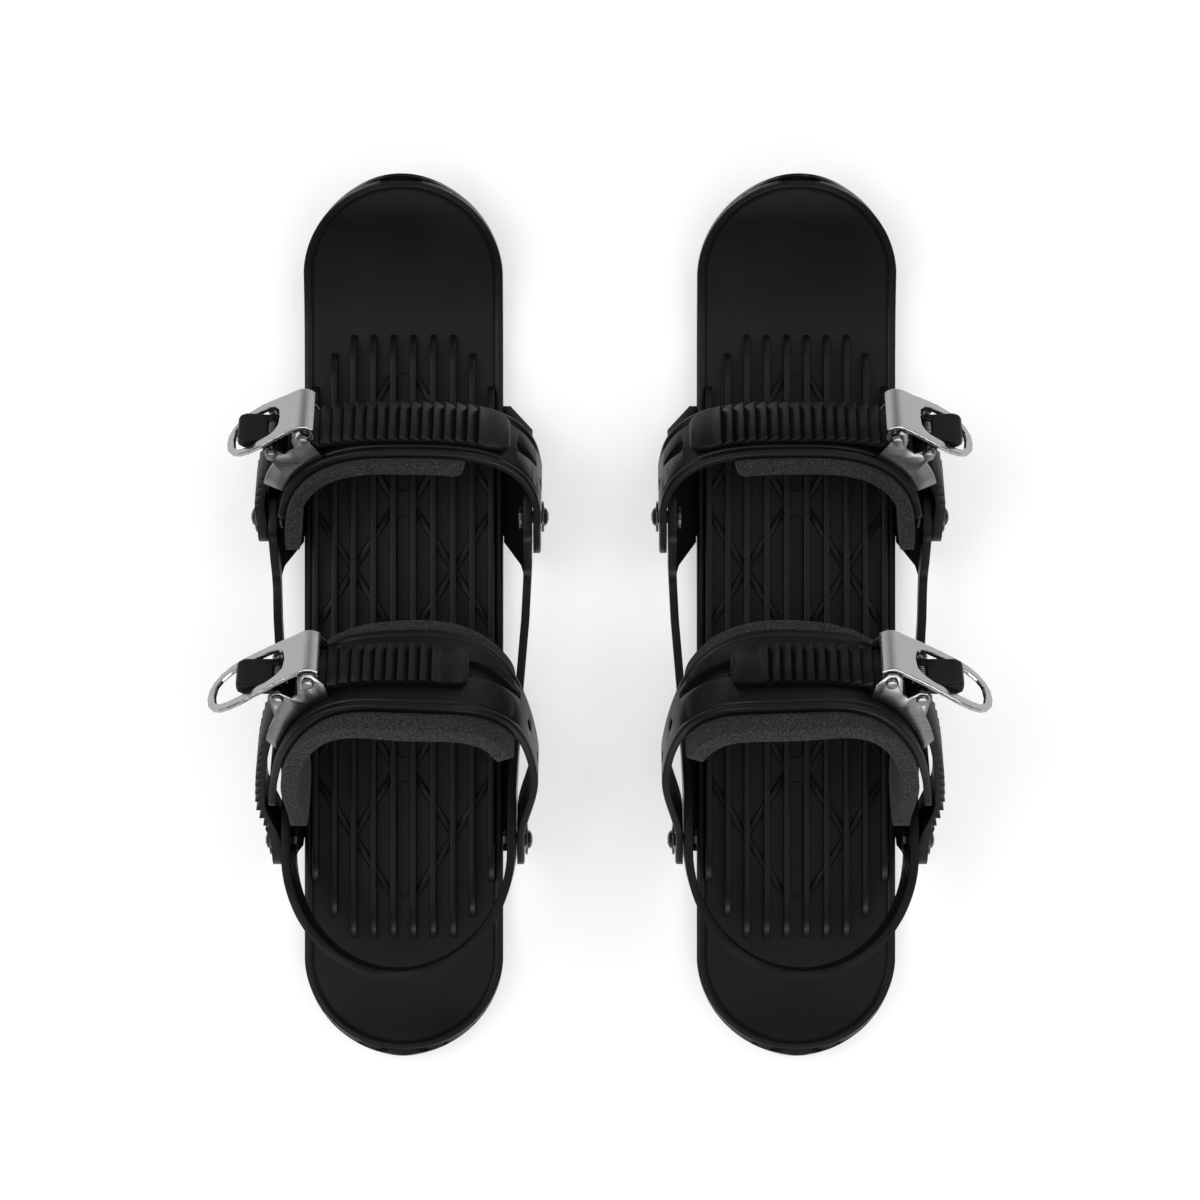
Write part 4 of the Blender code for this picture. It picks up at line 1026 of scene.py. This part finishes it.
def castPiece(node, look):
    piece = plainCopy(node)
    turn = buckleTurn(node)
    piece.data.transform(turn)
    remesh = piece.modifiers.new("Remesh", "REMESH")
    remesh.mode = "VOXEL"
    remesh.voxel_size = look["grain"]
    relax = piece.modifiers.new("Smooth", "SMOOTH")
    relax.factor = relaxing
    relax.iterations = look["passes"]
    applyModifiers(piece)
    piece.data.transform(turn.transposed())
    finishPiece(piece, node, "cast")


modelled = ("ribbed_deck", "sole_plate", "strap_shell", "ladder_strap", "strap_pad", "release_spring")

buildBoards()
buildStraps()
for node in sorted(frame["nodes"]):
    look = next((castShapes[ending] for ending in castShapes if node.endswith(ending)), None)
    if look:
        castPiece(node, look)
    elif not node.endswith(modelled):
        brokenEdges(node)
print("solid pieces dressed")


# Floor, lights and camera

groundLook = {"size": 60.0, "drop": 0.0006, "pale": 0.60, "rough": 0.9, "glow": 0.45}


def addMath(tree, operation, first, second):
    node = tree.nodes.new("ShaderNodeMath")
    node.operation = operation
    for value, socket in zip((first, second), node.inputs):
        if isinstance(value, float):
            socket.default_value = value
        else:
            tree.links.new(value, socket)
    return node.outputs[0]


def whiteGround():
    deselect()
    bpy.ops.mesh.primitive_plane_add(size=groundLook["size"], location=(0.0, 0.0, -groundLook["drop"]))
    ground = bpy.context.object
    ground.name = "ground"
    material = bpy.data.materials.new("paleGround")
    material.use_nodes = True
    tree = material.node_tree
    shader = tree.nodes["Principled BSDF"]
    pale = groundLook["pale"]
    shader.inputs["Base Color"].default_value = (pale, pale, pale, 1.0)
    shader.inputs["Roughness"].default_value = groundLook["rough"]
    shader.inputs["Specular IOR Level"].default_value = 0.0
    # The floor shows white to the eye, to metal and through glass, and keeps the shadow
    rays = tree.nodes.new("ShaderNodeLightPath").outputs
    seen = addMath(tree, "MAXIMUM", rays["Is Camera Ray"], rays["Is Glossy Ray"])
    seen = addMath(tree, "MAXIMUM", seen, rays["Is Transmission Ray"])
    glow = tree.nodes.new("ShaderNodeEmission")
    tree.links.new(addMath(tree, "MULTIPLY", seen, groundLook["glow"]), glow.inputs["Strength"])
    total = tree.nodes.new("ShaderNodeAddShader")
    tree.links.new(shader.outputs[0], total.inputs[0])
    tree.links.new(glow.outputs[0], total.inputs[1])
    tree.links.new(total.outputs[0], tree.nodes["Material Output"].inputs["Surface"])
    ground.data.materials.append(material)


def addPanel(name, place, size, power):
    bpy.ops.object.light_add(type="AREA", location=place)
    lamp = bpy.context.object
    lamp.name = name
    lamp.data.shape = "RECTANGLE"
    lamp.data.size, lamp.data.size_y = size
    lamp.data.energy = power
    lamp.rotation_euler = (Vector(place) * -1).to_track_quat("-Z", "Y").to_euler()


# Sky level by how high a ray looks, then the soft boxes: place, size, power
skyLevels = [(0.0, 0.10), (0.35, 0.38), (0.70, 0.24), (1.0, 1.0)]
panels = {"leftBox": ((-1.25, 0.2, 1.65), (1.2, 1.6), 17.0), "rightBox": ((1.25, 0.2, 1.65), (1.2, 1.6), 8.0),
          "heelSide": ((0.2, -1.7, 0.85), (1.4, 0.5), 16.0), "toeSide": ((0.9, 1.5, 1.0), (0.9, 0.4), 6.0)}


def studio():
    world = bpy.data.worlds.new("studio")
    bpy.context.scene.world = world
    world.use_nodes = True
    tree = world.node_tree
    way = tree.nodes.new("ShaderNodeTexCoord")
    split = tree.nodes.new("ShaderNodeSeparateXYZ")
    ramp = tree.nodes.new("ShaderNodeValToRGB")
    stops = ramp.color_ramp.elements
    # The ramp starts with its two end stops and keeps its stops in order
    for place, level in skyLevels[1:-1]:
        stops.new(place)
    for stop, (place, level) in zip(stops, skyLevels):
        stop.color = (level, level, level, 1.0)
    tree.links.new(way.outputs["Generated"], split.inputs[0])
    tree.links.new(split.outputs["Z"], ramp.inputs["Fac"])
    tree.links.new(ramp.outputs["Color"], tree.nodes["Background"].inputs["Color"])
    for name, (place, size, power) in panels.items():
        addPanel(name, place, size, power)


# The camera looks straight down, as in the middle view of the photograph
cameraLook = {"place": (0.0, 0.0073, 1.8), "lens": 124.0, "sensor": 36.0}


def photoCamera(look):
    bpy.ops.object.camera_add(location=look["place"], rotation=(0.0, 0.0, 0.0))
    camera = bpy.context.object
    camera.data.lens = look["lens"]
    camera.data.sensor_width = look["sensor"]
    bpy.context.scene.camera = camera


whiteGround()
studio()
photoCamera(cameraLook)
bpy.context.scene.view_settings.view_transform = "Standard"
deselect()
print("studio ready")
